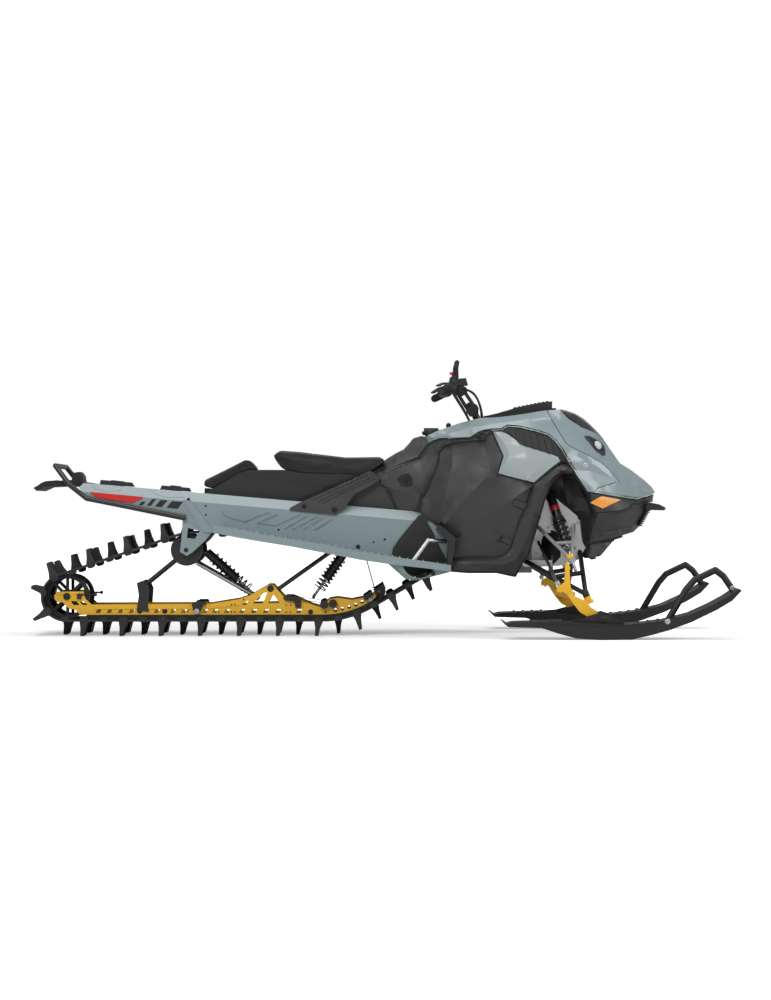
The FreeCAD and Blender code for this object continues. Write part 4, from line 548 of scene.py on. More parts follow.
def panel(name, outline, lines, slot, replaced=(), base=None, rises=None, step=4.0, rim=0.008, roll=0.0015):
    """A skin inside an outline, creased along its lines."""
    flat, value, edges, creases = [], [], [], set()

    def add(point, rise=0.0):
        x, y, depth = point
        flat.append(Vector((x, y)))
        value.append(-rise / 1000 if depth is None else depth / 1000)
        return len(flat) - 1

    rim_loop = [add(point) for point in sampled(outline, step, True)]
    edges += list(zip(rim_loop, rim_loop[1:] + rim_loop[:1]))
    for corners, rise in zip(lines, rises or [0.0] * len(lines)):
        chain = [add(point, rise) for point in sampled(corners, step)]
        for pair in zip(chain, chain[1:]):
            creases.add(len(edges))
            edges.append(pair)
    drawn = list(flat)
    low = [min(p[k] for p in drawn) for k in (0, 1)]
    high = [max(p[k] for p in drawn) for k in (0, 1)]
    for row in range(int((high[1] - low[1]) / step) + 1):
        for column in range(int((high[0] - low[0]) / step) + 1):
            spot = Vector((low[0] + (column + 0.5 * (row % 2)) * step, low[1] + (row + 0.5) * step))
            if all((spot - p).length > step * FILL_SHARE for p in drawn):
                flat.append(spot)
    made = delaunay_2d_cdt(flat, edges, [rim_loop], KEEP_INSIDE, MERGE_PIXELS)
    points, links, faces, old_points, old_links = made[:5]
    heights = np.zeros(len(points))
    held = np.zeros(len(points), bool)
    border_places = {}
    for index, sources in enumerate(old_points):
        own = [source for source in sources if source < len(value)]
        if own:
            heights[index] = value[own[0]]
            held[index] = True
        for source in sources:
            if source < len(rim_loop):
                border_places[source] = index
    heights = settled(points, links, heights, held)
    bm = bmesh.new()
    verts = []
    for point, height in zip(points, heights):
        depth = height + (depth_of((point.x, point.y), base) if base else 0.0)
        verts.append(bm.verts.new(at((point.x, point.y), min(depth, 0.0))))
    for face in faces:
        bm.faces.new([verts[k] for k in face])
    for index, sources in enumerate(old_links):
        if any(source in creases for source in sources):
            edge = bm.edges.get([verts[k] for k in links[index]])
            if edge:
                edge.smooth = False
    border = [edge for edge in bm.edges
              if len(edge.link_faces) == 1 and not all(abs(v.co.y) < ON_MIDDLE for v in edge.verts)]
    skirt = bmesh.ops.extrude_edge_only(bm, edges=border)["geom"]
    lowered = {item for item in skirt if isinstance(item, bmesh.types.BMVert)}
    rolled = {vert for edge in border for vert in edge.verts if abs(vert.co.y) > ON_MIDDLE}
    for edge in border:
        edge.smooth = False
    for vert in rolled:
        vert.co.y += roll
    SEALS.append([verts[border_places[k]].co.copy() for k in sorted(border_places)])
    for vert in lowered:
        vert.co.y = min(vert.co.y + rim, 0.0)
    bmesh.ops.delete(bm, geom=[v for v in bm.verts if not v.link_faces], context="VERTS")
    bmesh.ops.recalc_face_normals(bm, faces=bm.faces[:])
    if sum(face.normal.y * face.calc_area() for face in bm.faces) > 0:
        bmesh.ops.reverse_faces(bm, faces=bm.faces[:])
    both_sides(bm)
    bmesh.ops.remove_doubles(bm, verts=[v for v in bm.verts if abs(v.co.y) < ON_MIDDLE], dist=WELD_DISTANCE)
    obj = mesh_object(name, bm)
    drawn_edges = [edge.index for edge in obj.data.edges if edge.use_edge_sharp]
    obj.data.set_sharp_from_angle(angle=SMOOTH_ANGLE)
    for index in drawn_edges:
        obj.data.edges[index].use_edge_sharp = True
    dressed(obj, slot)
    if replaced:
        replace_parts(obj, *replaced)


HOOD_OUTLINE = [
    (425, 439, -50), (428, 435, -62), (440, 430, -75), (460, 423, -90), (480, 418, -100), (500, 417, -122),
    (520, 414.5, -122), (545, 410.5, -110), (560, 409.5, -98), (563, 413, -104), (569, 419, -108), (582, 427.5, -96),
    (592, 431.5, -76), (601, 435.5, -40), (603, 438, 0), (609, 447, 0), (620, 463, 0), (632, 470.5, 0),
    (645, 480.5, 0), (652, 487, 0), (655.5, 492.5, 0), (651, 495, -70), (638, 499.5, -150), (620, 497, -214),
    (600, 493.5, -268), (588, 491.5, -286), (581, 481, -300), (574, 470, -308), (569, 462, -298), (562, 450, -266),
    (555, 441, -236), (548, 435, -222), (535, 431, -218), (520, 427.5, -214), (508, 426.5, -210), (502, 430, -220),
    (492, 430.5, -210), (484, 431.5, -200), (478, 434, -200), (474, 437, -202), (470, 439, -200), (455, 439.5, -165),
    (440, 440, -118), (434, 441, -95), (427, 445, -75),
]
HOOD_LINES = [
    [(432, 437.5, -80), (447, 434, -118), (462, 430, -145), (480, 425.5, -160), (500, 423, -178), (514, 421, -178),
     (543, 417.5, -162), (551, 418, -160), (557, 419.5, -158)],
    [(557, 419.5, -158), (570, 426.5, -152), (585, 434, -134)],
    [(547, 410.5, -110), (551, 418, -160), (559, 431, -190), (565, 441, -222), (570, 447, -236), (585, 453.5, -232),
     (597, 461, -216), (606, 466.5, -200), (619, 482, -186), (598, 488, -262), (595, 492.5, -276)],
    [(555, 441, -236), (570, 447, -236)],
    [(568, 460.5, -294), (576, 455.5, -270), (597, 466, -222), (613, 479, -200)],
    [(574, 470, -308), (590, 471, -262), (612, 478.5, -202)],
    [(595, 450, -120), (604, 460, -118), (612, 462, -88), (625, 471, -74), (640, 480.5, -54), (653, 491.5, -24)],
    [(606, 466.5, -200), (612, 462, -88)],
    [(619, 482, -186), (640, 489, -112), (650, 494, -74)],
]
SIDE_OUTLINE = [
    (421.5, 512, -222), (422.5, 500, -213), (429, 490, -216), (434.5, 474, -212), (439.5, 462, -205),
    (440, 453, -193), (445, 447, -188), (453, 443.5, -190), (480, 441.3, -222), (485, 438, -218), (491, 432, -212),
    (502, 456, -273), (496.5, 475, -294), (532.5, 484.5, -310), (530, 491, -308), (522, 513, -302), (514, 535, -288),
    (510, 547, -280), (505.5, 552.5, -272), (500, 555.5, -268), (494, 557, -266), (451.5, 557.7, -262),
    (452, 545, -266), (457, 538, -265), (430, 518.5, -235),
]
SIDE_LINES = [
    [(453, 444.5, -203), (452, 466, -246), (444, 500, -264), (439, 524, -260)],
    [(453, 467, -247), (479, 466.5, -277)],
    [(479, 466.5, -277), (473, 471, -276), (457, 497, -271), (441, 521, -258)],
    [(487, 477, -300), (466, 498, -286), (445, 524, -268)],
    [(479, 466.5, -277), (487, 477, -300), (497, 476, -306)],
    [(483, 442, -236), (490, 469, -289), (479, 466.5, -277)],
    [(531, 487, -325), (511, 500, -317), (482, 520, -300), (460, 536, -283)],
    [(495, 531, -296), (503, 535.5, -295)], [(494, 538.5, -291), (499, 541, -290)],
]
RAIL_OUTLINE = [
    (561, 465), (573, 469), (573, 471.5), (562, 471.5), (552.5, 480), (548, 488), (544.5, 497), (541, 509),
    (535, 530), (527, 556), (521, 563), (515, 575.5), (497, 571.5), (468, 571.5), (451.5, 570), (451.5, 559.5),
    (494, 558.8), (501, 557.3), (507, 554), (511.5, 548), (515.5, 535.5), (523.5, 513.5), (531.5, 491.5),
    (535, 484.5),
]
RAIL_LINES = [
    [(568, 468.5), (554, 476), (543, 488), (534, 514), (524, 545), (516, 560), (505, 564.5), (452, 564.5)],
    [(561, 467), (540, 484.5), (530, 512), (519, 544), (511, 555), (500, 560.5), (452, 561.5)],
]
RAIL_RISES = (13.0, 9.0)
SHOULDER_OUTLINE = [
    (493, 431.5, -213), (502, 431.5, -217), (508, 434.5, -230), (523, 445, -256), (540, 450.5, -271),
    (557.5, 456.5, -282), (560.5, 461, -295), (551, 468, -318), (534, 482.5, -311), (516, 478, -305),
    (498.5, 473.5, -293), (503.8, 456, -270),
]
SHOULDER_LINES = [
    [(495, 432, -222), (503, 441, -252), (509, 451, -275), (508, 457, -286), (502, 474, -302)],
    [(503, 441, -252), (525, 448, -282), (545, 454, -293), (559, 460, -297)],
    [(508, 457, -286), (530, 458, -300), (545, 461, -308), (527, 480, -315)],
    [(545, 461, -308), (557, 461, -299)],
]
FASCIA_OUTLINE = [
    (590, 493, -280), (600, 495, -270), (620, 498.5, -216), (638, 501, -152), (651, 496.5, -72), (654, 494, 0),
    (653, 502, 0), (640, 503.5, -150), (632, 504, -190), (628, 508, -212), (620, 510.5, -236), (597, 512.5, -282),
    (592.5, 502, -282),
]
FASCIA_LINES = [[(595, 497, -280), (628, 502, -200)]]
LOWER_OUTLINE = [
    (597.5, 513.5, -280), (620, 511.5, -234), (628, 509, -212), (633, 505, -190), (648, 504.5, -130), (651, 504.5, 0),
    (650, 510, 0), (645, 518, 0), (640, 526, 0), (634, 532, -60), (615, 538, -130), (598, 541, -190),
    (590, 542.5, -212), (593, 528, -262),
]
LOWER_LINES = [
    [(597, 533, -236), (620, 529.5, -186), (632, 526, -140), (640, 524.5, -70)],
    [(648, 506, -128), (645, 514, -120), (640, 524.5, -70)],
]
LIP_OUTLINE = [
    (590.5, 543.5, -205), (598, 542, -184), (614.5, 539.5, -124), (612, 543, 0), (601, 556, 0), (600, 556.5, -90),
    (592, 558, -150), (588.5, 556, -170),
]
SCREEN_OUTLINE = [
    (559.5, 409, 0), (566, 410.3, 0), (575, 413.3, 0), (583, 418, 0), (590, 424, 0), (596, 430, 0), (601, 435.5, 0),
    (602, 437.5, 0), (601, 436, -40), (592, 432, -76), (582, 428, -96), (569, 419.5, -108), (563, 413.5, -104),
    (560.5, 410, -98),
]
SCREEN_LINES = [[(561, 409.3, -60), (576, 415, -62), (590, 425.5, -50), (601, 435.8, -20)]]
ARCH_OUTLINE = [
    (589, 492.5, -276), (592, 502, -276), (597, 513, -276), (592.5, 528, -256), (589.5, 544, -200), (588, 556, -160),
    (584, 538, -158), (582, 520, -158), (568, 506, -158), (556, 493, -150), (547, 489, -150), (548.5, 484, -170),
    (553, 478, -230), (562, 470, -262), (573, 470, -296), (581, 481, -290),
]
ARCH_LINES = [
    [(562, 472, -200), (564, 490, -182), (568, 504, -176)],
    [(576, 474, -240), (584, 494, -222), (590, 512, -214), (588, 530, -200)],
    [(570, 509.5, -176), (590, 512, -214), (597, 513, -276)],
]
KNEE_OUTLINE = [
    (378.5, 478, -142), (396, 467.5, -145), (419, 458.5, -148), (427.5, 446, -150), (434.5, 441.7, -165),
    (441, 440.7, -180), (470, 440, -222), (476, 437, -228), (484, 432.5, -232), (490.5, 431.2, -236),
    (484, 437, -236), (480, 439.8, -232), (452, 441.8, -205), (444, 445, -198), (438.5, 451.5, -192),
    (437, 462, -192), (433, 473, -192), (427, 489.5, -190), (420.5, 500, -188), (419, 512, -186), (398, 510.5, -164),
    (389, 492, -150), (380, 485, -142),
]
KNEE_LINES = [
    [(382, 484, -147), (392, 488.5, -158), (405, 492, -170), (422, 494.5, -184)],
    [(434, 447, -170), (431, 460, -182), (426, 475, -188), (420, 492, -188)],
    [(386, 477, -149), (396, 471.5, -154), (419, 462.5, -162), (428, 453, -165)],
]


def body_panels():
    """The dressed body panels, which stand for the CAD ones where these are plain."""
    panel("hood_skin", HOOD_OUTLINE, HOOD_LINES, "body_grey", ("hood", "nose_cone"), rim=0.006, roll=0.001)
    panel("side_skin", SIDE_OUTLINE, SIDE_LINES, "dark_panel", ("side_panels",))
    panel("rail_skin", RAIL_OUTLINE, RAIL_LINES, "dark_panel", ("frame_rails",), BODY_NODES, RAIL_RISES, 3.0, 0.03)
    panel("shoulder_skin", SHOULDER_OUTLINE, SHOULDER_LINES, "body_light", ("shoulder_panels",), step=3.0)
    panel("fascia_skin", FASCIA_OUTLINE, FASCIA_LINES, "dark_panel", ("fascia_upper",))
    panel("chin_skin", LOWER_OUTLINE, LOWER_LINES, "dark_panel", ("fascia_lower",))
    panel("screen_skin", SCREEN_OUTLINE, SCREEN_LINES, "dark_lens", ("windshield",), roll=0.0)
    panel("lip_skin", LIP_OUTLINE, [], "dark_panel")
    panel("arch_skin", ARCH_OUTLINE, ARCH_LINES, "black_plastic", rim=0.001, roll=0.0)
    panel("knee_skin", KNEE_OUTLINE, KNEE_LINES, "dark_panel", ("knee_panels",), step=3.0)
    panel_seals()


# Soft goods: the seat pad and the bag behind it

SEAT_SEAM = [(277, 457.6), (284, 458.6), (289.5, 460.5), (293.5, 464), (297, 468.5), (303, 474.5)]
SEAT_BACK = [(268, 456.5), *SEAT_SEAM[:5], (303, 475), (266, 475)]
SEAT_UNDER = [(289, 460.5), (305, 462), (322, 465), (336, 469), (350, 472.5), (368, 476), (303, 476), (297, 468.5),
              (293.5, 464)]
BAG_SEAMS = [
    [(206.5, 485.5), (225, 475.5), (245, 465.5)],
    [(204, 488), (225, 478.3), (241, 471.3)],
    [(211.5, 477.5), (215, 484.5)],
    [(236.5, 465), (240.5, 471.5)],
    [(243, 461.5), (248.5, 470)],
]
VOXEL = 0.005
INSET = 0.002
PRESSURE = 4.0
CLOTH_FRAMES = 20
SEAM_DEPTH = 0.004
SEAM_PIXELS = 0.6
CHANNEL_DEPTH = 0.0015
CHANNEL_WIDTH = 0.004
CORD_RADIUS = 0.0011


def applied(obj):
    """Turns the object's modifiers into its mesh."""
    mesh = bpy.data.meshes.new_from_object(obj.evaluated_get(bpy.context.evaluated_depsgraph_get()))
    obj.modifiers.clear()
    obj.data = mesh


def move_to(obj, places):
    obj.data.vertices.foreach_set("co", places.reshape(-1))
    obj.data.update()


def puffed(node, name, cap):
    """A padded form from a CAD solid: remeshed, rounded, and filled by a cloth simulation up to a cap."""
    bm = bmesh.new()
    bm.from_mesh(frame["nodes"][node].data)
    bmesh.ops.remove_doubles(bm, verts=bm.verts[:], dist=WELD_DISTANCE)
    obj = mesh_object(name, bm, smooth=False)
    configured(obj.modifiers.new("remesh", "REMESH"), mode="VOXEL", voxel_size=VOXEL)
    configured(obj.modifiers.new("rounding", "SMOOTH"), factor=0.5, iterations=2)
    applied(obj)
    normals = values_of(obj.data.vertices, "normal", 3)
    start = values_of(obj.data.vertices, "co", 3) - normals * INSET
    move_to(obj, start)
    padding = configured(obj.modifiers.new("padding", "CLOTH").settings, quality=4, mass=0.3,
                         tension_stiffness=12, compression_stiffness=12, shear_stiffness=8,
                         use_pressure=True, uniform_pressure_force=PRESSURE)
    padding.effector_weights.gravity = 0.0
    for number in range(1, CLOTH_FRAMES + 1):
        bpy.context.scene.frame_set(number)
    applied(obj)
    bpy.context.scene.frame_set(1)
    moved = values_of(obj.data.vertices, "co", 3) - start
    moved *= np.minimum(1.0, cap / np.maximum(np.linalg.norm(moved, axis=1, keepdims=True), 1e-9))
    moved[:, 2] = np.where(normals[:, 2] < -0.6, np.maximum(moved[:, 2], -INSET * 0.9), moved[:, 2])
    move_to(obj, start + moved)
    configured(obj.modifiers.new("finer", "SUBSURF"), levels=1, render_levels=1)
    applied(obj)
    for polygon in obj.data.polygons:
        polygon.use_smooth = True
    return obj


def pixels_of(places):
    """The pixel of each place, taken on the near side."""
    scale = (-CAMERA_PLACE[1] - np.abs(places[:, 1])) / FOCAL_PIXELS
    return np.stack([MIDDLE_PIXEL[0] + (places[:, 0] - CAMERA_PLACE[0]) / scale,
                     MIDDLE_PIXEL[1] - (places[:, 2] - CAMERA_PLACE[2]) / scale], axis=1)


def reach_of(pixels, line):
    """How far each pixel is from a line of pixels."""
    best = np.full(len(pixels), 1e9)
    for first, last in zip(line, line[1:]):
        first, last = np.array(first), np.array(last)
        span = last - first
        share = np.clip(((pixels - first) @ span) / (span @ span), 0, 1)[:, None]
        best = np.minimum(best, np.linalg.norm(pixels - first - share * span, axis=1))
    return best


def inside(pixels, outline):
    """True for the pixels within an outline."""
    found = np.zeros(len(pixels), bool)
    for (x0, y0), (x1, y1) in zip(outline, outline[1:] + outline[:1]):
        crosses = (y0 > pixels[:, 1]) != (y1 > pixels[:, 1])
        meet = (x1 - x0) * (pixels[:, 1] - y0) / (y1 - y0 if y1 != y0 else 1e-9) + x0
        found ^= crosses & (pixels[:, 0] < meet)
    return found


def sewn(obj, seams, half, hollows):
    """Presses seams and hollows into the sides of a padded piece."""
    places = values_of(obj.data.vertices, "co", 3)
    pixels = pixels_of(places)
    side = np.clip(np.abs(places[:, 1]) / half, 0, 1) ** 6
    push = np.zeros(len(places))
    for outline, deep, soft in hollows:
        share = np.clip(reach_of(pixels, outline + outline[:1]) / soft, 0, 1)
        push = np.maximum(push, np.where(inside(pixels, outline), deep * share * share * (3 - 2 * share), 0))
    for seam in seams:
        push += SEAM_DEPTH * np.exp(-(reach_of(pixels, seam) / SEAM_PIXELS) ** 2)
    places[:, 1] -= np.sign(places[:, 1]) * push * side
    move_to(obj, places)


def channelled(obj, station):
    """A channel across the top of a padded piece at this X."""
    places = values_of(obj.data.vertices, "co", 3)
    up = np.clip(values_of(obj.data.vertices, "normal", 3)[:, 2], 0, 1)
    places[:, 2] -= CHANNEL_DEPTH * np.exp(-((places[:, 0] - station) / CHANNEL_WIDTH) ** 2) * up
    move_to(obj, places)


def soft_piece(name, node, cap, half, seams, station, cord, hollows=()):
    """A sewn cushion that stands for a CAD solid, with a thin cord along its first seam."""
    obj = puffed(node, name, cap)
    sewn(obj, seams, half, hollows)
    channelled(obj, station)
    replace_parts(dressed(obj, "seat_cover"), node)
    bm = bmesh.new()
    tube(bm, [place + normal * CORD_RADIUS * 0.3 for place, normal in trace(seams[0], 2.0, name)], CORD_RADIUS, 6)
    finish_piece(cord, both_sides(bm), "black_rubber")


def soft_goods():
    soft_piece("seat_cushion", "seat_pad", 0.005, 0.128, [SEAT_SEAM], -0.30, "seat_piping",
               [(SEAT_BACK, 0.016, 2.2), (SEAT_UNDER, 0.007, 6.0)])
    soft_piece("rear_pack", "rear_bag", 0.004, 0.110, BAG_SEAMS, -0.715, "bag_piping")


# Details over the body: seams, lamps, latches, bolts

def strips(bm, lines, names, width, rise, step=3.0):
    """Thin raised bands along lines of pixels, as they lie on these surfaces."""
    for pixels in lines:
        sweep(bm, trace(pixels, step, *names), band(width / 2, width / 2, -0.001, rise))


def seam_piece(name, lines, names, slot="black_rubber", width=0.0022, rise=0.0005, look=None):
    bm = bmesh.new()
    strips(bm, lines, names, width, rise)
    finish_piece(name, both_sides(bm), slot, look=look)


def bolt_piece(name, places, names, slot, sides=6):
    """Bolt heads at (pixel x, pixel y, radius in mm) on these surfaces."""
    bm = bmesh.new()
    for x, y, radius in places:
        bolt(bm, *hit((x, y), *names), radius / 1000, sides)
    finish_piece(name, both_sides(bm), slot)


def patch(bm, pixels, names, depth, bevel, sink=0.0):
    """A flat plate over an outline of pixels, laid on the mean plane of the surface there."""
    found = [hit(pixel, *names) for pixel in pixels]
    normal = sum((n for _, n in found), Vector()).normalized()
    plate(bm, [p - normal * sink for p, _ in found], normal, depth, bevel)


def patch_piece(name, outlines, names, slot, depth, bevel, sink=0.0, look=None):
    bm = bmesh.new()
    for outline in outlines:
        patch(bm, outline, names, depth, bevel, sink)
    return finish_piece(name, both_sides(bm), slot, look=look)


PANEL_LATCHES = [
    [(515.3, 499.3), (527.8, 503.8), (525, 510), (512.7, 505.3)],
    [(502.3, 535.3), (513.8, 540.2), (511.5, 546), (499.3, 541.3)],
]


def hood_details():
    seam_piece("hood_seams", [
        [(547, 410.7), (551, 418.5), (555, 425), (559, 431.5), (563, 438), (566, 442.5), (570, 446), (577, 449.5),
         (585, 453.5), (592, 457), (599, 460.7), (606, 466.5), (613, 474.5), (619.5, 481.5), (608, 485), (598, 488.3),
         (595.5, 491)],
    ], ("hood_skin",), width=0.0030)
    bolt_piece("hood_bolts", [(586, 465.3, 8.5)], ("hood_skin",), "bare_aluminium")
    seam_piece("knee_seams", [
        [(379, 478.5), (396, 468.5), (419, 459), (421.5, 457), (427.5, 447), (435, 442.5), (445, 441.7)],
        [(380, 484.5), (384, 487.5), (389, 487.5)],
        [(389, 487.5), (398, 510)],
    ], ("knee_skin",), width=0.0032)
    seam_piece("tank_seams", [
        [(397, 452), (388, 459), (383, 465)],
        [(423, 437), (420, 445), (415, 450), (400, 457), (386, 464)],
    ], ("tank_cover",), width=0.0025)
    bm = bmesh.new()
    latch = [(396.5, 479.5), (400, 475.5), (408.5, 473), (412, 477), (413, 484.5), (410.5, 487), (401.5, 486.5)]
    patch(bm, latch, ("knee_skin",), 0.0015, 0.0006)
    strips(bm, [[(400.5, y), (410.5, y - 0.6)] for y in (478, 481, 484)], ("knee_skin",), 0.004, 0.0035)
    place, normal = hit((406.5, 481), "knee_skin")
    bolt(bm, place + normal * OFFSET, normal, 0.0075)
    finish_piece("knee_latches", both_sides(bm), "black_rubber")
    bm = bmesh.new()
    place, normal = hit((482, 436.4), "side_skin", "knee_skin", "hood_skin")
    lathe(bm, place - normal * 0.004, normal, [(0.021, 0), (0.021, 0.006), (0.019, 0.009), (0.012, 0.0095),
                                                (0.011, 0.004), (0.002, 0.0035)], 28)
    patch(bm, [(476.5, 434.5), (481, 433.2), (481, 438.6), (476.5, 438)], ("hood_skin", "knee_skin"), 0.009, 0.002)
    finish_piece("panel_knobs", both_sides(bm), "black_rubber")
    patch_piece("panel_latches", PANEL_LATCHES, ("side_skin", "rail_skin"), "dark_panel", 0.007, 0.002)
    seam_piece("latch_seams", [outline + outline[:1] for outline in PANEL_LATCHES], ("side_skin", "rail_skin"),
               width=0.0042, rise=0.0022)
    seam_piece("panel_marks", [[(494, 530.5), (502.5, 535)], [(493, 538.5), (499, 541)]], ("side_skin",),
               width=0.0028)


LAMP_OUTLINE = [(584.5, 436.2), (589, 435.8), (595, 438.8), (600.5, 442), (604, 446), (605.5, 450.5), (605.5, 455.5),
                (602, 455.5), (597, 451.5), (590, 443.5)]
LAMP_INNER = [(591, 439.8), (596, 440.6), (600.5, 443.5), (603.5, 448), (603, 451.5), (598.5, 450.5), (593.5, 446)]
LAMP_CENTRE = (597.5, 445.6)
LENS_RADIUS = 0.0165
LENS_RISE = 0.011
LENS_SCALE = 1.35


def lamps():
    """The headlamps: a dark housing, a black plate as painted shade for its recess, and a clear lens dome."""
    housing = patch_piece("lamp_housings", [LAMP_OUTLINE], ("hood_skin",), "dark_panel", 0.0035, 0.0015, sink=0.001)
    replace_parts(housing, "headlamps")
    # A black plate over the middle of the housing: painted shade for the lamp's recess
    patch_piece("lamp_recess_shades", [LAMP_INNER], ("hood_skin",), "black_rubber", 0.0045, 0.0005)
    bm = bmesh.new()
    place, normal = hit(LAMP_CENTRE, "lamp_housings")
    normal = (normal + Vector((0, -0.9, 0.1))).normalized()
    dome = [(LENS_RADIUS * math.cos(a), LENS_RISE * math.sin(a)) for a in map(math.radians, (0, 18, 36, 54, 72, 86))]
    lathe(bm, place + normal * 0.001, normal,
          [(r * LENS_SCALE, h * LENS_SCALE) for r, h in [(LENS_RADIUS, -0.002)] + dome], 28)
    finish_piece("lamp_lenses", both_sides(bm), "clear_lens", angle=60)


def arch_details():
    """Louvres in the front wall of the wheel arch, the serrated chin and the seams of the fascia."""
    bm = bmesh.new()
    louvres = [[(566 + k * 0.9, 479.5 + k * 2.1), (578 + k, 479.5 + k * 2.1 + 1.2)] for k in range(9)]
    strips(bm, louvres, ("arch_skin",), 0.0065, 0.006, 4.0)
    finish_piece("arch_louvres", both_sides(bm), "black_rubber")
    seam_piece("chin_seams", [
        [(597.5, 514), (592.5, 529), (589.8, 541)],
        [(599, 532.5), (612, 530.3), (622, 527.8), (629, 526.8), (634, 528.5)],
    ], ("chin_skin",))
    bm = bmesh.new()
    for index in range(9):
        share = index / 8
        for depth in (-0.115, -0.06):
            tooth = at((648.6 - 8.2 * share, 510.5 + 15.0 * share), depth * (1 - 0.35 * share))
            plate(bm, [tooth + Vector((x, 0, z)) for x, z in (
                (-0.012, 0.0035), (0.004, 0.0035), (0.0085, -0.0005), (0.004, -0.0035), (-0.012, -0.0035))],
                NEAR, 0.03, 0.001)
    finish_piece("chin_teeth", both_sides(bm), "black_plastic")
    patch_piece("amber_markers", [[(595.5, 499.5), (602, 496.3), (621, 500), (608, 506)]], ("fascia_skin",), None,
                0.004, 0.0012, look="amber_lens")


# Track, rails and rear suspension

# The circles that the belt's inner line runs round: x, z, radius
BELT_WHEELS = [(-1.437, 0.178, 0.104), (-0.256, 0.524, 0.450), (0.178, 0.369, 0.098), (-0.882, 0.395, 0.076)]
BELT_PITCH = 0.0889
LUG_PHASE = 0.020
# Each as (along, out) of the belt's inner line
DRIVE_LUG = [(-0.021, 0.0), (-0.016, -0.0125), (-0.006, -0.0155), (0.006, -0.0155), (0.016, -0.0125), (0.021, 0.0)]
BAR_END = [(-0.012, 0.001), (-0.008, -0.007), (0.008, -0.007), (0.012, 0.001), (0.012, 0.009), (-0.012, 0.009)]


def belt_stretches():
    """The belt's inner line as arcs and straight runs: (length, kind, data), anticlockwise from below."""
    turns = [math.atan2(z1 - z0, x1 - x0) - math.acos((r0 - r1) / math.hypot(x1 - x0, z1 - z0))
             for (x0, z0, r0), (x1, z1, r1) in zip(BELT_WHEELS, BELT_WHEELS[1:] + BELT_WHEELS[:1])]
    found = []
    for index, (x, z, radius) in enumerate(BELT_WHEELS):
        first, last = turns[index - 1], turns[index]
        while last < first:
            last += 2 * math.pi
        found.append((radius * (last - first), "arc", (x, z, radius, first)))
        next_x, next_z, next_radius = BELT_WHEELS[(index + 1) % len(BELT_WHEELS)]
        start = (x + radius * math.cos(last), z + radius * math.sin(last))
        end = (next_x + next_radius * math.cos(last), next_z + next_radius * math.sin(last))
        found.append((math.dist(start, end), "line", (start, end, last)))
    return found


def belt_place(stretches, distance):
    """The point of the belt's inner line at this distance, and its outward normal's angle."""
    for length, kind, data in stretches:
        if distance <= length:
            break
        distance -= length
    if kind == "arc":
        x, z, radius, first = data
        angle = first + distance / radius
        return Vector((x + radius * math.cos(angle), 0, z + radius * math.sin(angle))), angle
    start, end, angle = data
    share = distance / length
    return Vector((start[0] + (end[0] - start[0]) * share, 0, start[1] + (end[1] - start[1]) * share)), angle


def track_details():
    """Inner drive lugs at the belt's edges, and the ends of its bars."""
    stretches = belt_stretches()
    whole = sum(entry[0] for entry in stretches)
    count = 2 * round(whole / BELT_PITCH / 2)
    for name, slot, section, y, depth, bevel in (
        ("track_drive_lugs", "track_rubber", DRIVE_LUG, -0.188, 0.0145, 0.002),
        ("track_bar_ends", "black_paint", BAR_END, -0.2015, 0.0045, 0.001),
    ):
        bm = bmesh.new()
        for index in range(count):
            place, angle = belt_place(stretches, (LUG_PHASE + index * whole / count) % whole)
            out = Vector((math.cos(angle), 0, math.sin(angle)))
            along = Vector((-out.z, 0, out.x))
            plate(bm, [place + along * a + out * b + Vector((0, y, 0)) for a, b in section], NEAR, depth, bevel)
        finish_piece(name, both_sides(bm), slot)


RAIL_BOLTS = [(140, 611, 8.5), (165, 611, 8.5), (310.5, 612, 8), (377, 593.8, 8), (270.5, 588.6, 11)]
RAIL_RIVETS = [(x, y, 2.6) for x, y in (
    (148.5, 611.3), (188.3, 611.5), (218.5, 612), (231.7, 604.8), (235, 604.8), (231.7, 612), (235, 612),
    (286.3, 605.2), (290.6, 605.2), (286.3, 612.2), (290.6, 612.2), (325.5, 612))] + [(243.8, 599.6, 2.8)]
RAIL_FACE = -0.131
RAIL_PLATES = [
    ([(283, 597.6), (286, 596.2), (293, 596.4), (300, 599.3), (300, 601.6), (287, 601), (284, 599.6)], 0.014),
    ([(294, 600.6), (301, 601.4), (300.6, 607.6), (295.4, 607.6)], 0.017),
    ([(363.2, 596.6), (370.5, 591.4), (372.8, 593), (372.6, 595.8), (366.5, 600.4), (364, 599.6)], 0.022),
    ([(372, 589.8), (376, 588.2), (383.6, 583), (385.6, 588), (385.2, 594), (381.5, 599.5), (375.2, 604.2),
      (371.6, 604.6), (378.6, 597.6), (380.4, 593.4), (379.6, 590.2), (375, 590.6)], 0.010),
]


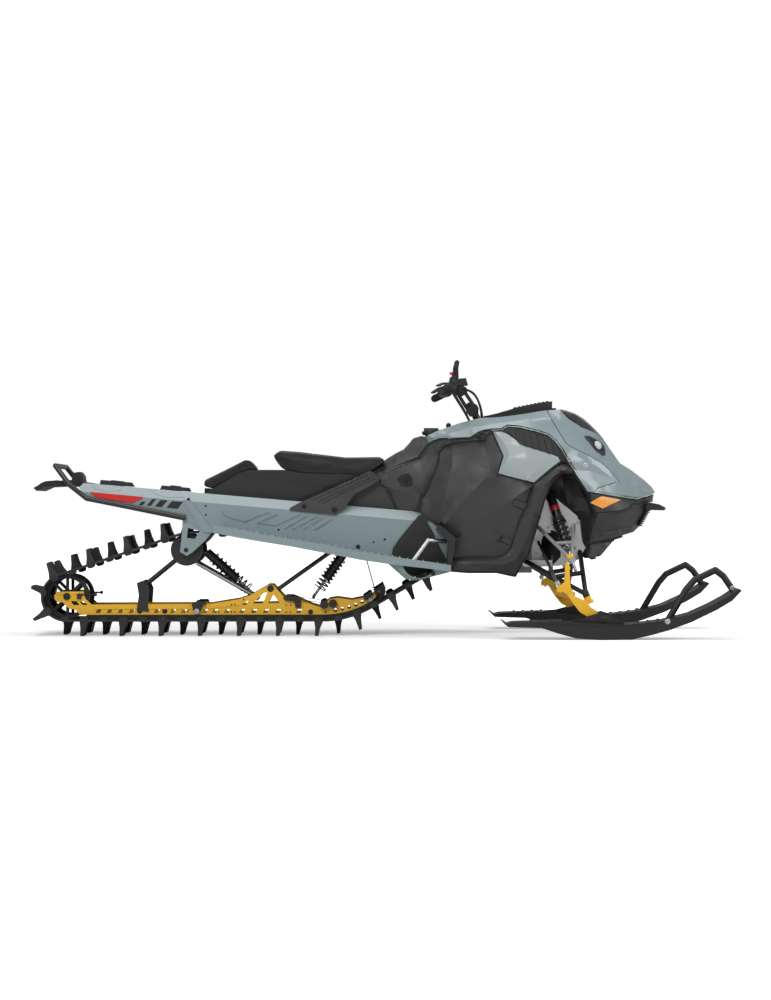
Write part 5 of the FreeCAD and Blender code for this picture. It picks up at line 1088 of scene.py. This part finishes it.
def rail_details():
    bolt_piece("rail_bolts", RAIL_BOLTS, ("skid_rails",), "black_paint")
    bolt_piece("rail_rivets", RAIL_RIVETS, ("skid_rails",), "black_paint", sides=10)
    bm = bmesh.new()
    axle = at((67.3, 596.4), RAIL_FACE)
    lathe(bm, axle + Vector((0, 0.002, 0)), NEAR, [(0.0165, 0), (0.0165, 0.004), (0.015, 0.006)], 28)
    lathe(bm, axle + Vector((0, 0.004, 0)), NEAR, [(0.0125, 0), (0.0125, 0.016), (0.0105, 0.018), (0.007, 0.018),
                                                   (0.0066, 0.010), (0.001, 0.0095)], 6)
    plate(bm, spots([(77.6, 593.6), (82, 593.6), (82, 599), (77.6, 599)], RAIL_FACE + 0.003), NEAR, 0.012, 0.0018)
    tube(bm, spots([(80, 594.6), (97.5, 594.4)], RAIL_FACE - OFFSET), 0.0042, 10)
    lathe(bm, at((95, 594.4), RAIL_FACE - OFFSET), (1, 0, 0), [(0.0085, 0), (0.0092, 0.002), (0.0092, 0.008),
                                                             (0.008, 0.010)], 6)
    finish_piece("axle_adjusters", both_sides(bm), "black_paint")
    bm = bmesh.new()
    clamp = [(192.2, 604.6), (193.2, 602.6), (196, 602), (196.5, 601.2), (204.6, 601.2), (206, 602.5), (206, 604.6),
             (203, 605.2), (202, 608), (200, 611.6), (197.5, 613.6), (195.4, 613), (193.5, 610)]
    plate(bm, spots(clamp, RAIL_FACE + OFFSET), NEAR, 0.020, 0.003)
    for outline, depth in RAIL_PLATES:
        plate(bm, spots(outline, RAIL_FACE + OFFSET), NEAR, depth, 0.0018)
    strap = spots([(286, 598.6), (298, 599.6), (312, 601), (325, 603.6), (333, 604.2)], RAIL_FACE - 0.006)
    sweep(bm, [(p, UP) for p in rounded(strap)], band(0.007, 0.007, -0.0012, 0.0012))
    finish_piece("rail_fittings", both_sides(bm), "black_plastic")
    bm = bmesh.new()
    bolt(bm, at((196.7, 611.3), -0.149), NEAR, 0.0085)
    bolt(bm, at((370.4, 600.2), RAIL_FACE), NEAR, 0.0075)
    finish_piece("rail_bright_bolts", both_sides(bm), "bare_aluminium")


# Tunnel, boards and tail

FLAP_DROPS = (0, 1.6, 2.9, 3.9, 4.8, 5.3, 5.6)


def tunnel_details():
    bolt_piece("tunnel_bolts", [(358, 547, 7.5), (188.6, 499.3, 5), (206, 515, 3.2), (205.8, 506, 3.2),
                                (278.6, 530, 3.6), (373.5, 542.3, 3.2), (384.7, 539.5, 4)],
               ("tunnel", "tunnel_brackets"), "black_paint")
    bolt_piece("board_bolts", [(432.7, 573.4, 7.5)], ("running_boards",), "black_paint")
    bm = bmesh.new()
    place, normal = hit((187, 550.3), "tunnel_brackets", "carrier_wheels")
    lathe(bm, place - normal * 0.003, normal, [(0.024, 0), (0.024, 0.008), (0.021, 0.011), (0.016, 0.011),
                                                (0.015, 0.009), (0.002, 0.009)], 32)
    finish_piece("hanger_hubs", both_sides(bm), "black_paint")
    bolt_piece("hanger_bolts", [(187, 550.3, 9)], ("hanger_hubs",), "bare_steel")
    patch_piece("tunnel_bars", [
        [(139, 505), (142.2, 501.6), (146, 502), (142.6, 505.6)],
        [(147, 505.8), (152.5, 499), (156.4, 499.3), (150.8, 506.2)],
        [(155, 506.6), (160.8, 500), (168, 500.6), (162, 507.4)],
        [(166.4, 507.9), (172.2, 501.2), (183, 502), (178, 509.1)],
    ], ("tunnel",), "black_paint", 0.0006, 0.0001)
    seam_piece("tunnel_folds", [
        [(92, 484.8), (96, 489), (106, 491.3), (122, 490.5)],
        [(152, 490.5), (157.5, 494.8), (168, 497.5), (186, 497)],
    ], ("tunnel",), "body_grey", 0.003, 0.0012)
    bolt_piece("strut_bolts", [(304, 506.3, 9), (334.3, 509.8, 10)], ("seat_struts",), "black_rubber")
    seam_piece("strut_lines", [
        [(318, 501.5), (345, 489.5), (375, 475.5)],
        [(322, 503), (348, 491), (378.5, 477)],
        [(312, 500.5), (340, 487.5), (370, 473.5)],
    ], ("seat_struts",), width=0.0026, rise=0.0012)
    bm = bmesh.new()
    for index in range(9):
        rib = spots([(40 + 3.2 * k, 487.6 - drop) for k, drop in enumerate(FLAP_DROPS)], -0.155 + index * 0.0385)
        found = [found_from(point + Vector((0, 0, 0.05)), DOWN, "snow_flap") for point in rib]
        found = [place for place in found if place]
        if len(found) > 2:
            sweep(bm, [(p, UP) for p in found], band(0.003, 0.0018, -0.001, 0.003))
    finish_piece("flap_ribs", bm, "black_rubber")


# Skis: the pieces of the near one, which is the right one, are made again for the left one

SKI_DROP = Vector((0, 0, -0.0106))
SKI_MIDDLE = -0.465
ABOVE = Vector((0, 0, 0.1))
BESIDE = Vector((0, -0.3, 0))


def ski_place(pixel, y):
    return at(pixel, y) + SKI_DROP


def ski_bolts(bm):
    for pixel in ((666, 618.7), (733.6, 586.1)):
        place = ski_place(pixel, -0.4805)
        bolt(bm, found_from(place + BESIDE, FAR, "ski_loop_right", "ski_right") or place, NEAR, 0.0085)


def ski_pivots(bm):
    place = ski_place((603, 616.8), SKI_MIDDLE)
    bolt(bm, found_from(place + BESIDE, FAR, "ski_right") or place, NEAR, 0.012)


def ski_teeth(bm):
    """Small cleats along the ski's top edge."""
    for x in (531, 541, 551, 561, 571, 638, 648, 658):
        for y in (-0.540, -0.394):
            place = found_from(ski_place((x, 600), y) + ABOVE, DOWN, "ski_right")
            if place:
                lathe(bm, place - Vector((0, 0, OFFSET)), UP, [(0.007, 0), (0.0062, 0.004), (0.0035, 0.0065)], 12)


def ski_hooks(bm):
    """The pulling hook of bent wire at the ski's tail."""
    wire = ((516, 620.4), (510, 621.6), (506.5, 621.2), (503.5, 619), (501, 617.3))
    tube(bm, rounded([ski_place(pixel, SKI_MIDDLE) for pixel in wire]), 0.004, 10)


def ski_runners(bm):
    """The steel wear bar under the keel."""
    points = []
    for x in range(556, 652, 6):
        place = found_from(ski_place((x, 640), SKI_MIDDLE) - Vector((0, 0, 0.05)), UP, "ski_right")
        if place:
            points.append((Vector((place.x, SKI_MIDDLE, max(place.z + 0.0052, 0.0052))), UP))
    sweep(bm, points, circle(0.005, 8))


def ski_ridges(bm):
    """Moulded ridges along the ski's side."""
    for pixels in ([(596, 611.6), (604, 611.2), (612, 614), (620, 617), (640, 619.4), (660, 619.6)],
                   [(540, 624), (570, 624), (600, 625.6), (640, 625.4), (680, 617.4), (710, 604.2)]):
        found = []
        for first, last in zip(pixels, pixels[1:]):
            for k in range(5):
                x = first[0] + (last[0] - first[0]) * k / 5
                y = first[1] + (last[1] - first[1]) * k / 5
                place, normal, _, _ = tree(("ski_right",)).ray_cast(ski_place((x, y), -0.7), Vector(FAR))
                if place and place.y < -0.47:
                    found.append((place, normal if normal.y < 0 else -normal))
        if len(found) > 2:
            sweep(bm, found, band(0.003, 0.0014, -0.002, 0.0016))


def ski_details():
    for make, slot in ((ski_bolts, "bare_aluminium"), (ski_pivots, "black_paint"), (ski_teeth, "ski_plastic"),
                       (ski_hooks, "bare_steel"), (ski_runners, "bare_steel"), (ski_ridges, "ski_plastic")):
        for side in ("right", "left"):
            bm = bmesh.new()
            make(bm)
            if side == "left":
                for vert in bm.verts:
                    vert.co.y = -vert.co.y
                bmesh.ops.reverse_faces(bm, faces=bm.faces[:])
            finish_piece(make.__name__ + "_" + side, bm, slot, "ski_" + side)


def front_details():
    """The boots of the tie rods, and the ribs and bolts on the bulkhead."""
    patch_piece("tie_rod_boots", [[(544, 534.5), (551, 530), (557.5, 532.5), (560.5, 545), (560.8, 557), (553, 565),
                                   (542, 556), (541.5, 541)]], ("bulkhead",), "black_rubber", 0.006, 0.002)
    seam_piece("bulkhead_ribs", [
        [(541, 526), (548, 531.5)], [(556, 501), (567, 509), (579, 519)], [(560, 512), (572, 531), (576, 548)],
        [(541, 519), (556, 530)], [(534, 549), (541, 553), (552, 566)], [(570, 526), (580, 540), (585, 549)],
    ], ("bulkhead",), "bare_aluminium", 0.010, 0.006)
    bolt_piece("bulkhead_bolts", [(548, 527.5, 5), (566, 556.5, 5), (536, 553, 6), (557, 503, 5), (578, 523, 6),
                                  (583, 545, 5), (572, 541, 4), (540, 546, 4)], ("bulkhead",), "bare_steel")


# Tank, fuel cap, steering column, cables and small fittings

TANK_OUTLINE = [
    (366, 473, -118), (376, 466.5, -70), (386, 459.3, -0.5), (396, 453.2, -0.5), (403.5, 449.5, -0.5),
    (409, 443.5, -0.5), (413, 438.5, -0.5), (421, 436, -0.5), (426, 437, -40), (428.5, 445, -132), (421, 456.5, -141),
    (419, 458.5, -142), (396, 467.5, -142), (378.5, 478, -142),
]
TANK_LINES = [
    [(376, 469.5, -92), (387, 462, -78), (397, 455.8, -74), (404.5, 452, -76), (410.5, 446, -72), (415, 441, -62),
     (423, 438.5, -52)],
    [(381, 472.5, -132), (396, 463.5, -134), (412, 456.5, -135), (420, 450, -134), (425.5, 443, -122)],
]
BASE_OUTLINE = [
    (340, 508, -136), (344, 500, -136), (352, 490, -136), (357, 480, -136), (361, 474.5, -136), (370, 471, -136),
    (379, 476, -138), (386, 488, -141), (398.5, 510.5, -150), (379, 511, -138),
]
CAP_PLACE = Vector((0.252, 0.0, 0.918))
CAP_TEETH = 20
CHOKE_ABOVE = Vector((0.330, -0.055, 1.3))
CHOKE_PLACE = Vector((0.33, -0.055, 0.955))
STEERING_AXIS = (-0.535052, 0, 0.844819)


def tank_details():
    """The tank's cover, the low panel behind the knee panels, the fuel cap and the choke knob."""
    panel("tank_skin", TANK_OUTLINE, TANK_LINES, "dark_panel", rim=0.004, roll=0.001)
    panel("tank_base_skin", BASE_OUTLINE, [], "dark_panel", ("tank_cover",), rim=0.02, roll=0.001)
    seam_piece("tank_edge_seams", [
        [(412, 461), (420, 457), (424, 450.5), (427.5, 446)],
        [(378.5, 478.5), (381.5, 485), (386.5, 488)],
        [(387, 489), (398.5, 510)],
    ], ("tank_skin", "knee_skin", "tank_base_skin"), width=0.003)
    bm = bmesh.new()
    tilt = Vector((-0.10, 0, 1)).normalized()
    lathe(bm, CAP_PLACE, tilt, [(0.030, 0), (0.030, 0.012), (0.0415, 0.014), (0.0425, 0.024), (0.040, 0.031),
                                (0.030, 0.036), (0.014, 0.038)], 40)
    for x, y in circle(1.0, CAP_TEETH):
        way = Vector((x, y, 0))
        sweep(bm, [(CAP_PLACE + way * 0.041 + tilt * rise, way) for rise in (0.015, 0.028)],
              band(0.003, 0.002, -0.002, 0.003))
    sweep(bm, [(CAP_PLACE + tilt * 0.036 + Vector((x, 0, 0)), tilt) for x in (-0.034, -0.02, 0.0, 0.02, 0.034)],
          band(0.006, 0.004, -0.004, 0.008))
    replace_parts(finish_piece("fuel_cap_knurled", bm, "black_plastic"), "fuel_cap")
    bm = bmesh.new()
    top = found_from(CHOKE_ABOVE, DOWN, "hood_skin") or CHOKE_PLACE
    lathe(bm, top - Vector((0, 0, 0.004)), (-0.1, 0, 1), [(0.007, 0), (0.007, 0.010), (0.011, 0.013), (0.0125, 0.022),
                                                          (0.010, 0.028), (0.004, 0.033)], 20)
    finish_piece("choke_knob", bm, "black_rubber")


def column_details():
    """The steering column: two pairs of posts between its clamps, and the lower post."""
    bm = bmesh.new()
    for side in (-0.026, 0.026):
        for ends in ([(456.5, 391.5), (468.5, 411)], [(462.5, 389), (475, 407.5)]):
            tube(bm, spots(ends, side), 0.0085, 12)
        guard = spots([(453, 389), (455.5, 396), (462, 406), (468.5, 418), (472, 427)], side * 1.5)
        tube(bm, rounded(guard), 0.0042, 8)
    lathe(bm, at((472.3, 409.6), 0.0), FAR, [(0.0095, -0.041), (0.026, -0.041), (0.028, -0.037), (0.028, 0.037),
                                             (0.026, 0.041), (0.0095, 0.041)], closed=True)
    tube(bm, spots([(475, 415.5), (479, 421.5), (486, 433.5)], 0.0), 0.017, 20)
    for side in (-0.034, 0.034):
        for place in spots([(468.5, 404.5), (476.8, 414.5)], side):
            lathe(bm, place - Vector((0, 0.007, 0)), FAR, [(0.009, 0), (0.009, 0.014), (0.007, 0.016)], 12)
    plate(bm, spots([(450.5, 386.5), (459.5, 384), (466.5, 387.5), (467.5, 392.5), (463.5, 395.5), (456.5, 395),
                     (452, 391.5)], -0.040), NEAR, -0.080)
    for side in (-0.034, 0.034):
        plate(bm, spots([(466.2, 411.5), (469, 403.8), (474, 403.5), (478, 408.5), (478.4, 413.5), (475, 417.5),
                         (469.5, 416.5)], side), NEAR, 0.006, 0.001)
    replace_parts(finish_piece("column_posts", bm, "black_paint", "handlebar"), "steering_column")


# Each cable from the bar down to the console, as (x, y, depth in m), and its radius
CABLE_RUNS = [
    ([(461.5, 388, -0.045), (468, 389.8, -0.06), (474, 392.8, -0.06), (478.5, 400, -0.058), (481.5, 409, -0.05),
      (482.6, 417, -0.045), (482.8, 424, -0.04)], 0.0034),
    ([(461.5, 388.5, 0.045), (469.5, 391, 0.05), (475.5, 396, 0.052), (479, 403.5, 0.048), (480.8, 411.5, 0.042),
      (481.2, 418.5, 0.042), (481.5, 427, 0.042)], 0.0034),
    ([(451, 389, -0.060), (454, 396, -0.055), (460, 405, -0.050), (466, 415, -0.045), (470.5, 424, -0.04),
      (472.5, 430, -0.035)], 0.0042),
    ([(452, 390, 0.055), (456.5, 399, 0.052), (463, 409, 0.048), (468.8, 419, 0.042), (473, 428, 0.035)], 0.0042),
]


def cables():
    for index, (run, radius) in enumerate(CABLE_RUNS):
        bm = bmesh.new()
        points = rounded([at((x, y), depth) for x, y, depth in run], 3)
        tube(bm, points, radius, 8)
        obj = finish_piece("cable_%d" % (index + 1), bm, "black_rubber", None)
        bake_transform(obj)


GRIP_RIBS = 16
GRIP_RADIUS = 0.0171
RIB_RADIUS = 0.0011


def near_points(node):
    return [vert.co for vert in frame["nodes"][node].data.vertices if vert.co.y < 0]


def corners_of(points):
    """The low and the high corner of the box round some points."""
    return [Vector([side(p[k] for p in points) for k in range(3)]) for side in (min, max)]


def bar_details():
    """Control blocks, levers, switches and the ribs of the grips."""
    bm = bmesh.new()
    low, high = corners_of(near_points("bar_controls"))
    inner = Vector((high.x - 0.026, high.y + 0.016, high.z - 0.024))
    outer = Vector((low.x + 0.050, low.y + 0.075, low.z + 0.026))
    along = (outer - inner).normalized()
    for share, radius in ((0.0, 0.0215), (0.30, 0.025), (0.55, 0.0225), (0.80, 0.019)):
        lathe(bm, inner.lerp(outer, share) - along * 0.017, along,
              [(radius * 0.8, 0), (radius, 0.004), (radius, 0.030), (radius * 0.8, 0.034)])
    lever = [inner + Vector((-0.010, -0.01, 0.018)), inner + Vector((-0.036, -0.045, 0.020)),
             outer + Vector((-0.030, -0.015, 0.014)), low + Vector((0.010, 0.018, 0.034))]
    sweep(bm, [(p, UP) for p in rounded(lever)],
          [(-0.011, -0.003), (-0.004, -0.0045), (0.006, -0.0045), (0.010, -0.002), (0.009, 0.003), (-0.009, 0.003)])
    for share, size in ((0.25, 0.008), (0.5, 0.006)):
        lathe(bm, inner.lerp(outer, share) + Vector((0.004, 0, 0.018)), UP,
              [(size, 0), (size, 0.008), (size * 0.7, 0.010)], 16)
    lathe(bm, inner + Vector((0.006, -0.024, 0.014)), (0.1, -0.1, 1),
          [(0.016, 0), (0.017, 0.004), (0.017, 0.018), (0.015, 0.021), (0.006, 0.021)])
    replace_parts(finish_piece("hand_controls", both_sides(bm), "black_plastic", "handlebar"), "bar_controls")
    bm = bmesh.new()
    lathe(bm, at((452.6, 377.0), -0.045), (-0.25, 0, 1),
          [(0.004, 0), (0.004, 0.012), (0.0095, 0.014), (0.0105, 0.019), (0.008, 0.023), (0.003, 0.0235)], 20)
    finish_piece("stop_switch", bm, "red_lens", "handlebar")
    bm = bmesh.new()
    plate(bm, spots([(449.8, 377.5), (455.2, 375.4), (457.4, 379.5), (456, 387), (450.6, 387.6), (448.6, 382.5)],
                    -0.034), NEAR, 0.026, 0.003)
    finish_piece("switch_housing", bm, "black_plastic", "handlebar")
    bm = bmesh.new()
    near = near_points("grips")
    ends = []
    for edge in (min(p.y for p in near), max(p.y for p in near)):
        low, high = corners_of([p for p in near if abs(p.y - edge) < 0.012])
        ends.append((low + high) / 2)
    axes = frame_of((ends[1] - ends[0]).normalized())
    for ring in range(GRIP_RIBS):
        centre = ends[0].lerp(ends[1], 0.06 + 0.88 * ring / (GRIP_RIBS - 1))
        tube(bm, [centre + axes @ Vector((x, y, 0)) * GRIP_RADIUS for x, y in circle(1.0, 20)], RIB_RADIUS, 5,
             closed=True)
    finish_piece("grip_ribs", both_sides(bm), "black_rubber", "handlebar")


def dash_details():
    bm = bmesh.new()
    for index in range(9):
        place = found_from(at((515 + index * 4.0, 395), 0.0) + Vector((0, 0, 0.05)), DOWN, "dash_vent")
        if place:
            sweep(bm, [(place + Vector((0, y, -0.001)), UP) for y in (-0.06, 0.06)],
                  [(-0.005, -0.002), (0.005, -0.002), (0.003, 0.005), (-0.005, 0.006)])
    finish_piece("dash_slats", bm, "black_plastic")


def shock_details():
    """The red mark and the collars on the front shocks."""
    way = (FRONT_SHOCK_LOW - FRONT_SHOCK_TOP).normalized()
    bm = bmesh.new()
    lathe(bm, FRONT_SHOCK_TOP.lerp(FRONT_SHOCK_LOW, 0.165), way,
          [(0.0206, 0), (0.0216, 0.001), (0.0216, 0.022), (0.0206, 0.023)])
    finish_piece("shock_marks", both_sides(bm), None, look="red_mark")
    bm = bmesh.new()
    for share, radius, height in ((0.305, 0.026, 0.010), (0.335, 0.0285, 0.006), (0.62, 0.029, 0.006)):
        lathe(bm, FRONT_SHOCK_TOP.lerp(FRONT_SHOCK_LOW, share), way,
              [(radius * 0.9, 0), (radius, 0.0015), (radius, height), (radius * 0.9, height + 0.0015)], 20)
    finish_piece("shock_collars", both_sides(bm), "black_plastic")


def filler_details():
    bm = bmesh.new()
    plate(bm, spots([(204.8, 488.2), (209, 488.4), (213, 489.4), (207, 493.2), (204.4, 493.4)], -0.098), FAR, 0.196)
    finish_piece("pack_foot", bm, "black_rubber")
    # A black strip along the strut's top edge, under the seat base: painted shadow in the gap between them
    seam_piece("seat_gap_shadow", [[(296, 501.6), (313, 494), (330, 486.6), (347, 479.6), (360, 474.3)]],
               ("seat_base",), width=0.014, rise=0.001)
    seam_piece("base_folds", [
        [(214, 489.5), (241.5, 474), (284, 471.5)],
        [(216, 490.8), (244, 492.5), (292, 497.8), (298, 498.5)],
        [(243, 474.5), (284, 480), (330, 485)],
    ], ("seat_base",), "black_plastic", 0.004, 0.0015)
    # Darker strips along the tunnel's pressed lines: painted shade for their shaded sides
    seam_piece("tunnel_stamp_shades", [
        [(222, 513), (229, 518), (245, 522)],
        [(245, 522), (269.7, 512.5)],
        [(257, 523.5), (278, 514.5)], [(257, 523.5), (276, 526), (300, 515)],
        [(285, 529), (308, 516)], [(292, 530), (318, 517)], [(303, 530), (323, 518)], [(315, 530), (331, 520)],
    ], ("tunnel",), "body_grey", 0.0045, 0.0016, "stamp")


LINER_NODES = ("side_panels", "knee_panels", "shoulder_panels", "frame_rails", "side_grilles", "hood")
LINER_MIDDLE = (0.35, 0.70)
LINER_SHARES = (0.985, 0.92, 0.93)


def liner():
    """A dark inner wall a little inside the body panels, so that their gaps don't show daylight."""
    bm = bmesh.new()
    for name in LINER_NODES:
        bm.from_mesh(frame["nodes"][name].data)
    far = [vert for vert in bm.verts if vert.co.x > 0.84 or (vert.co.x > 0.72 and vert.co.z < 0.8)
           or (vert.co.x < 0.5 and vert.co.z > 0.86 and abs(vert.co.y) < 0.13)]
    bmesh.ops.delete(bm, geom=far, context="VERTS")
    x, z = LINER_MIDDLE
    for vert in bm.verts:
        vert.co = Vector((x + (vert.co.x - x) * LINER_SHARES[0], vert.co.y * LINER_SHARES[1],
                          z + (vert.co.z - z) * LINER_SHARES[2]))
    finish_piece("body_liner", bm, "black_rubber")


CONSOLE_EDGE = [(426, 438.5, -48), (440, 430.6, -74), (460, 424, -88), (480, 419, -98), (500, 417, -118),
                (520, 414.8, -118), (545, 411, -106)]
CONSOLE_COLUMNS = 24
CONSOLE_HOLE = 0.045
BOOT_PROFILE = [(0.066, 0.010), (0.066, 0.015), (0.054, 0.020), (0.056, 0.025), (0.045, 0.029), (0.046, 0.034),
                (0.036, 0.038), (0.037, 0.043), (0.031, 0.047), (0.0305, 0.052), (0.028, 0.052), (0.028, 0.010)]
BOOT_DROP = 0.012


def console():
    """The console between the hood's top edges, with a boot round the column."""
    hole = at((483.5, 429.5), 0.0)
    bm = bmesh.new()
    rows = []
    for x, y, depth in sampled(CONSOLE_EDGE, 2.5):
        edge = at((x, y), depth / 1000)
        row = []
        for k in range(CONSOLE_COLUMNS + 1):
            share = -1 + 2 * k / CONSOLE_COLUMNS
            sink = 0.010 + 0.016 * (1 - share * share) ** 0.5
            row.append(bm.verts.new(Vector((edge.x, abs(edge.y) * 1.02 * share, edge.z - sink))))
        rows.append(row)
    for first, last in zip(rows, rows[1:]):
        for k in range(CONSOLE_COLUMNS):
            corners = (first[k], first[k + 1], last[k + 1], last[k])
            middle = sum((c.co for c in corners), Vector()) / 4
            if (middle.x - hole.x) ** 2 + middle.y ** 2 > CONSOLE_HOLE ** 2:
                bm.faces.new(corners)
    bmesh.ops.delete(bm, geom=[vert for vert in bm.verts if not vert.link_faces], context="VERTS")
    bmesh.ops.solidify(bm, geom=bm.faces[:], thickness=0.003)
    finish_piece("console_cover", bm, "black_plastic")
    bm = bmesh.new()
    lathe(bm, at((484, 433), 0.0), STEERING_AXIS, [(radius, height - BOOT_DROP) for radius, height in BOOT_PROFILE],
          30, closed=True)
    finish_piece("column_boot", bm, "black_rubber")


def board_details():
    """Raised teeth and small gussets along the inner edge of the boards."""
    bm = bmesh.new()
    for index in range(26):
        for depth in (-0.352, -0.245):
            place = found_from(at((222 + index * 7.1, 500), depth), DOWN, "running_boards")
            if place and place.z > 0.3:
                lathe(bm, place - Vector((0, 0, OFFSET)), UP, [(0.0065, 0), (0.0055, 0.004), (0.003, 0.0085)], 10)
    for x in (238, 264, 289, 314, 339):
        low = found_from(at((x, 512), -0.2235) + Vector((0, -0.012, 0)), DOWN, "running_boards")
        if low:
            foot = Vector((low.x, -0.2215, low.z - 0.001))
            plate(bm, [foot + Vector((dx, 0, dz)) for dx, dz in ((0, 0.034), (-0.019, 0), (0.019, 0))], NEAR, 0.004,
                  0.001)
    finish_piece("board_teeth", both_sides(bm), "body_grey")


# Studio

FLOOR_HALF = 30.0
FLOOR_COLOUR = (0.88, 0.88, 0.88, 1.0)
GLOW_STRETCH = (0.42, 0.8, 1.0)
GLOW_REACH = (0.75, 1.5)
NEAR_GLOW = 0.36
FAR_GLOW = 1.0
WORLD_LIGHT = 0.33


def backdrop_material():
    """Takes the object's shadow near it, and is plain white further off where the camera sees it."""
    floor = Shader("floor_look", 0.5, specular=0.0)
    floor.inputs["Base Color"].default_value = FLOOR_COLOUR
    grain = floor.node("ShaderNodeTexNoise", {"Scale": 3.0}).outputs["Fac"]
    floor.tree.links.new(floor.spread(grain, 0.0, 1.0, 0.88, 0.96), floor.inputs["Roughness"])
    mapping = floor.node("ShaderNodeMapping", {"Scale": GLOW_STRETCH, "Vector": floor.coords})
    length = floor.node("ShaderNodeVectorMath", {0: mapping.outputs["Vector"]}, operation="LENGTH")
    glow = floor.spread(length.outputs["Value"], *GLOW_REACH, NEAR_GLOW, FAR_GLOW, interpolation_type="SMOOTHSTEP")
    seen = floor.times(floor.node("ShaderNodeLightPath").outputs["Is Camera Ray"], glow)
    floor.inputs["Emission Color"].default_value = WHITE
    floor.tree.links.new(seen, floor.inputs["Emission Strength"])
    return floor.material


def lamp(name, place, aim, size, power):
    data = configured(bpy.data.lights.new(name, "AREA"), shape="RECTANGLE", size=size[0], size_y=size[1],
                      energy=power)
    obj = bpy.data.objects.new(name, data)
    obj.location = place
    obj.rotation_euler = (Vector(aim) - Vector(place)).to_track_quat("-Z", "Y").to_euler()
    bpy.context.scene.collection.objects.link(obj)


def studio():
    bm = bmesh.new()
    bmesh.ops.create_grid(bm, x_segments=4, y_segments=4, size=FLOOR_HALF)
    floor = mesh_object("floor", bm, smooth=False)
    floor.data.materials.append(backdrop_material())
    lamp("key_lamp", (-2.0, -5.5, 4.5), (0.0, 0.0, 0.5), (3.5, 2.0), 200)
    lamp("front_lamp", (5.5, -2.5, 3.0), (0.5, 0.0, 0.5), (2.0, 2.0), 90)
    lamp("top_lamp", (0.0, 0.5, 5.5), (0.0, 0.0, 0.3), (6.0, 2.0), 120)
    world = bpy.data.worlds.new("studio_world")
    bpy.context.scene.world = world
    world.use_nodes = True
    nodes, links = world.node_tree.nodes, world.node_tree.links
    back = nodes["Background"]
    back.inputs["Color"].default_value = WHITE
    level = nodes.new("ShaderNodeMapRange")
    level.inputs["To Min"].default_value = WORLD_LIGHT
    level.inputs["To Max"].default_value = 1.0
    links.new(nodes.new("ShaderNodeLightPath").outputs["Is Camera Ray"], level.inputs["Value"])
    links.new(level.outputs["Result"], back.inputs["Strength"])
    bpy.context.scene.view_settings.view_transform = "Standard"


def camera():
    data = configured(bpy.data.cameras.new("camera"), sensor_width=SENSOR,
                      lens=FOCAL_PIXELS / LONG_SIDE_PIXELS * SENSOR)
    obj = bpy.data.objects.new("camera", data)
    obj.location = CAMERA_PLACE
    obj.rotation_euler = (math.radians(90) + CAMERA_PITCH, 0.0, -CAMERA_YAW)
    bpy.context.scene.collection.objects.link(obj)
    bpy.context.scene.camera = obj


dress_nodes()
for node in frame["nodes"].values():
    soften(node.data)
for build in (body_panels, hood_details, lamps, arch_details, track_details, rail_details, tunnel_details,
              ski_details, front_details, soft_goods, tank_details, column_details, cables, bar_details, dash_details,
              shock_details, filler_details, board_details, liner, console, studio, camera):
    build()
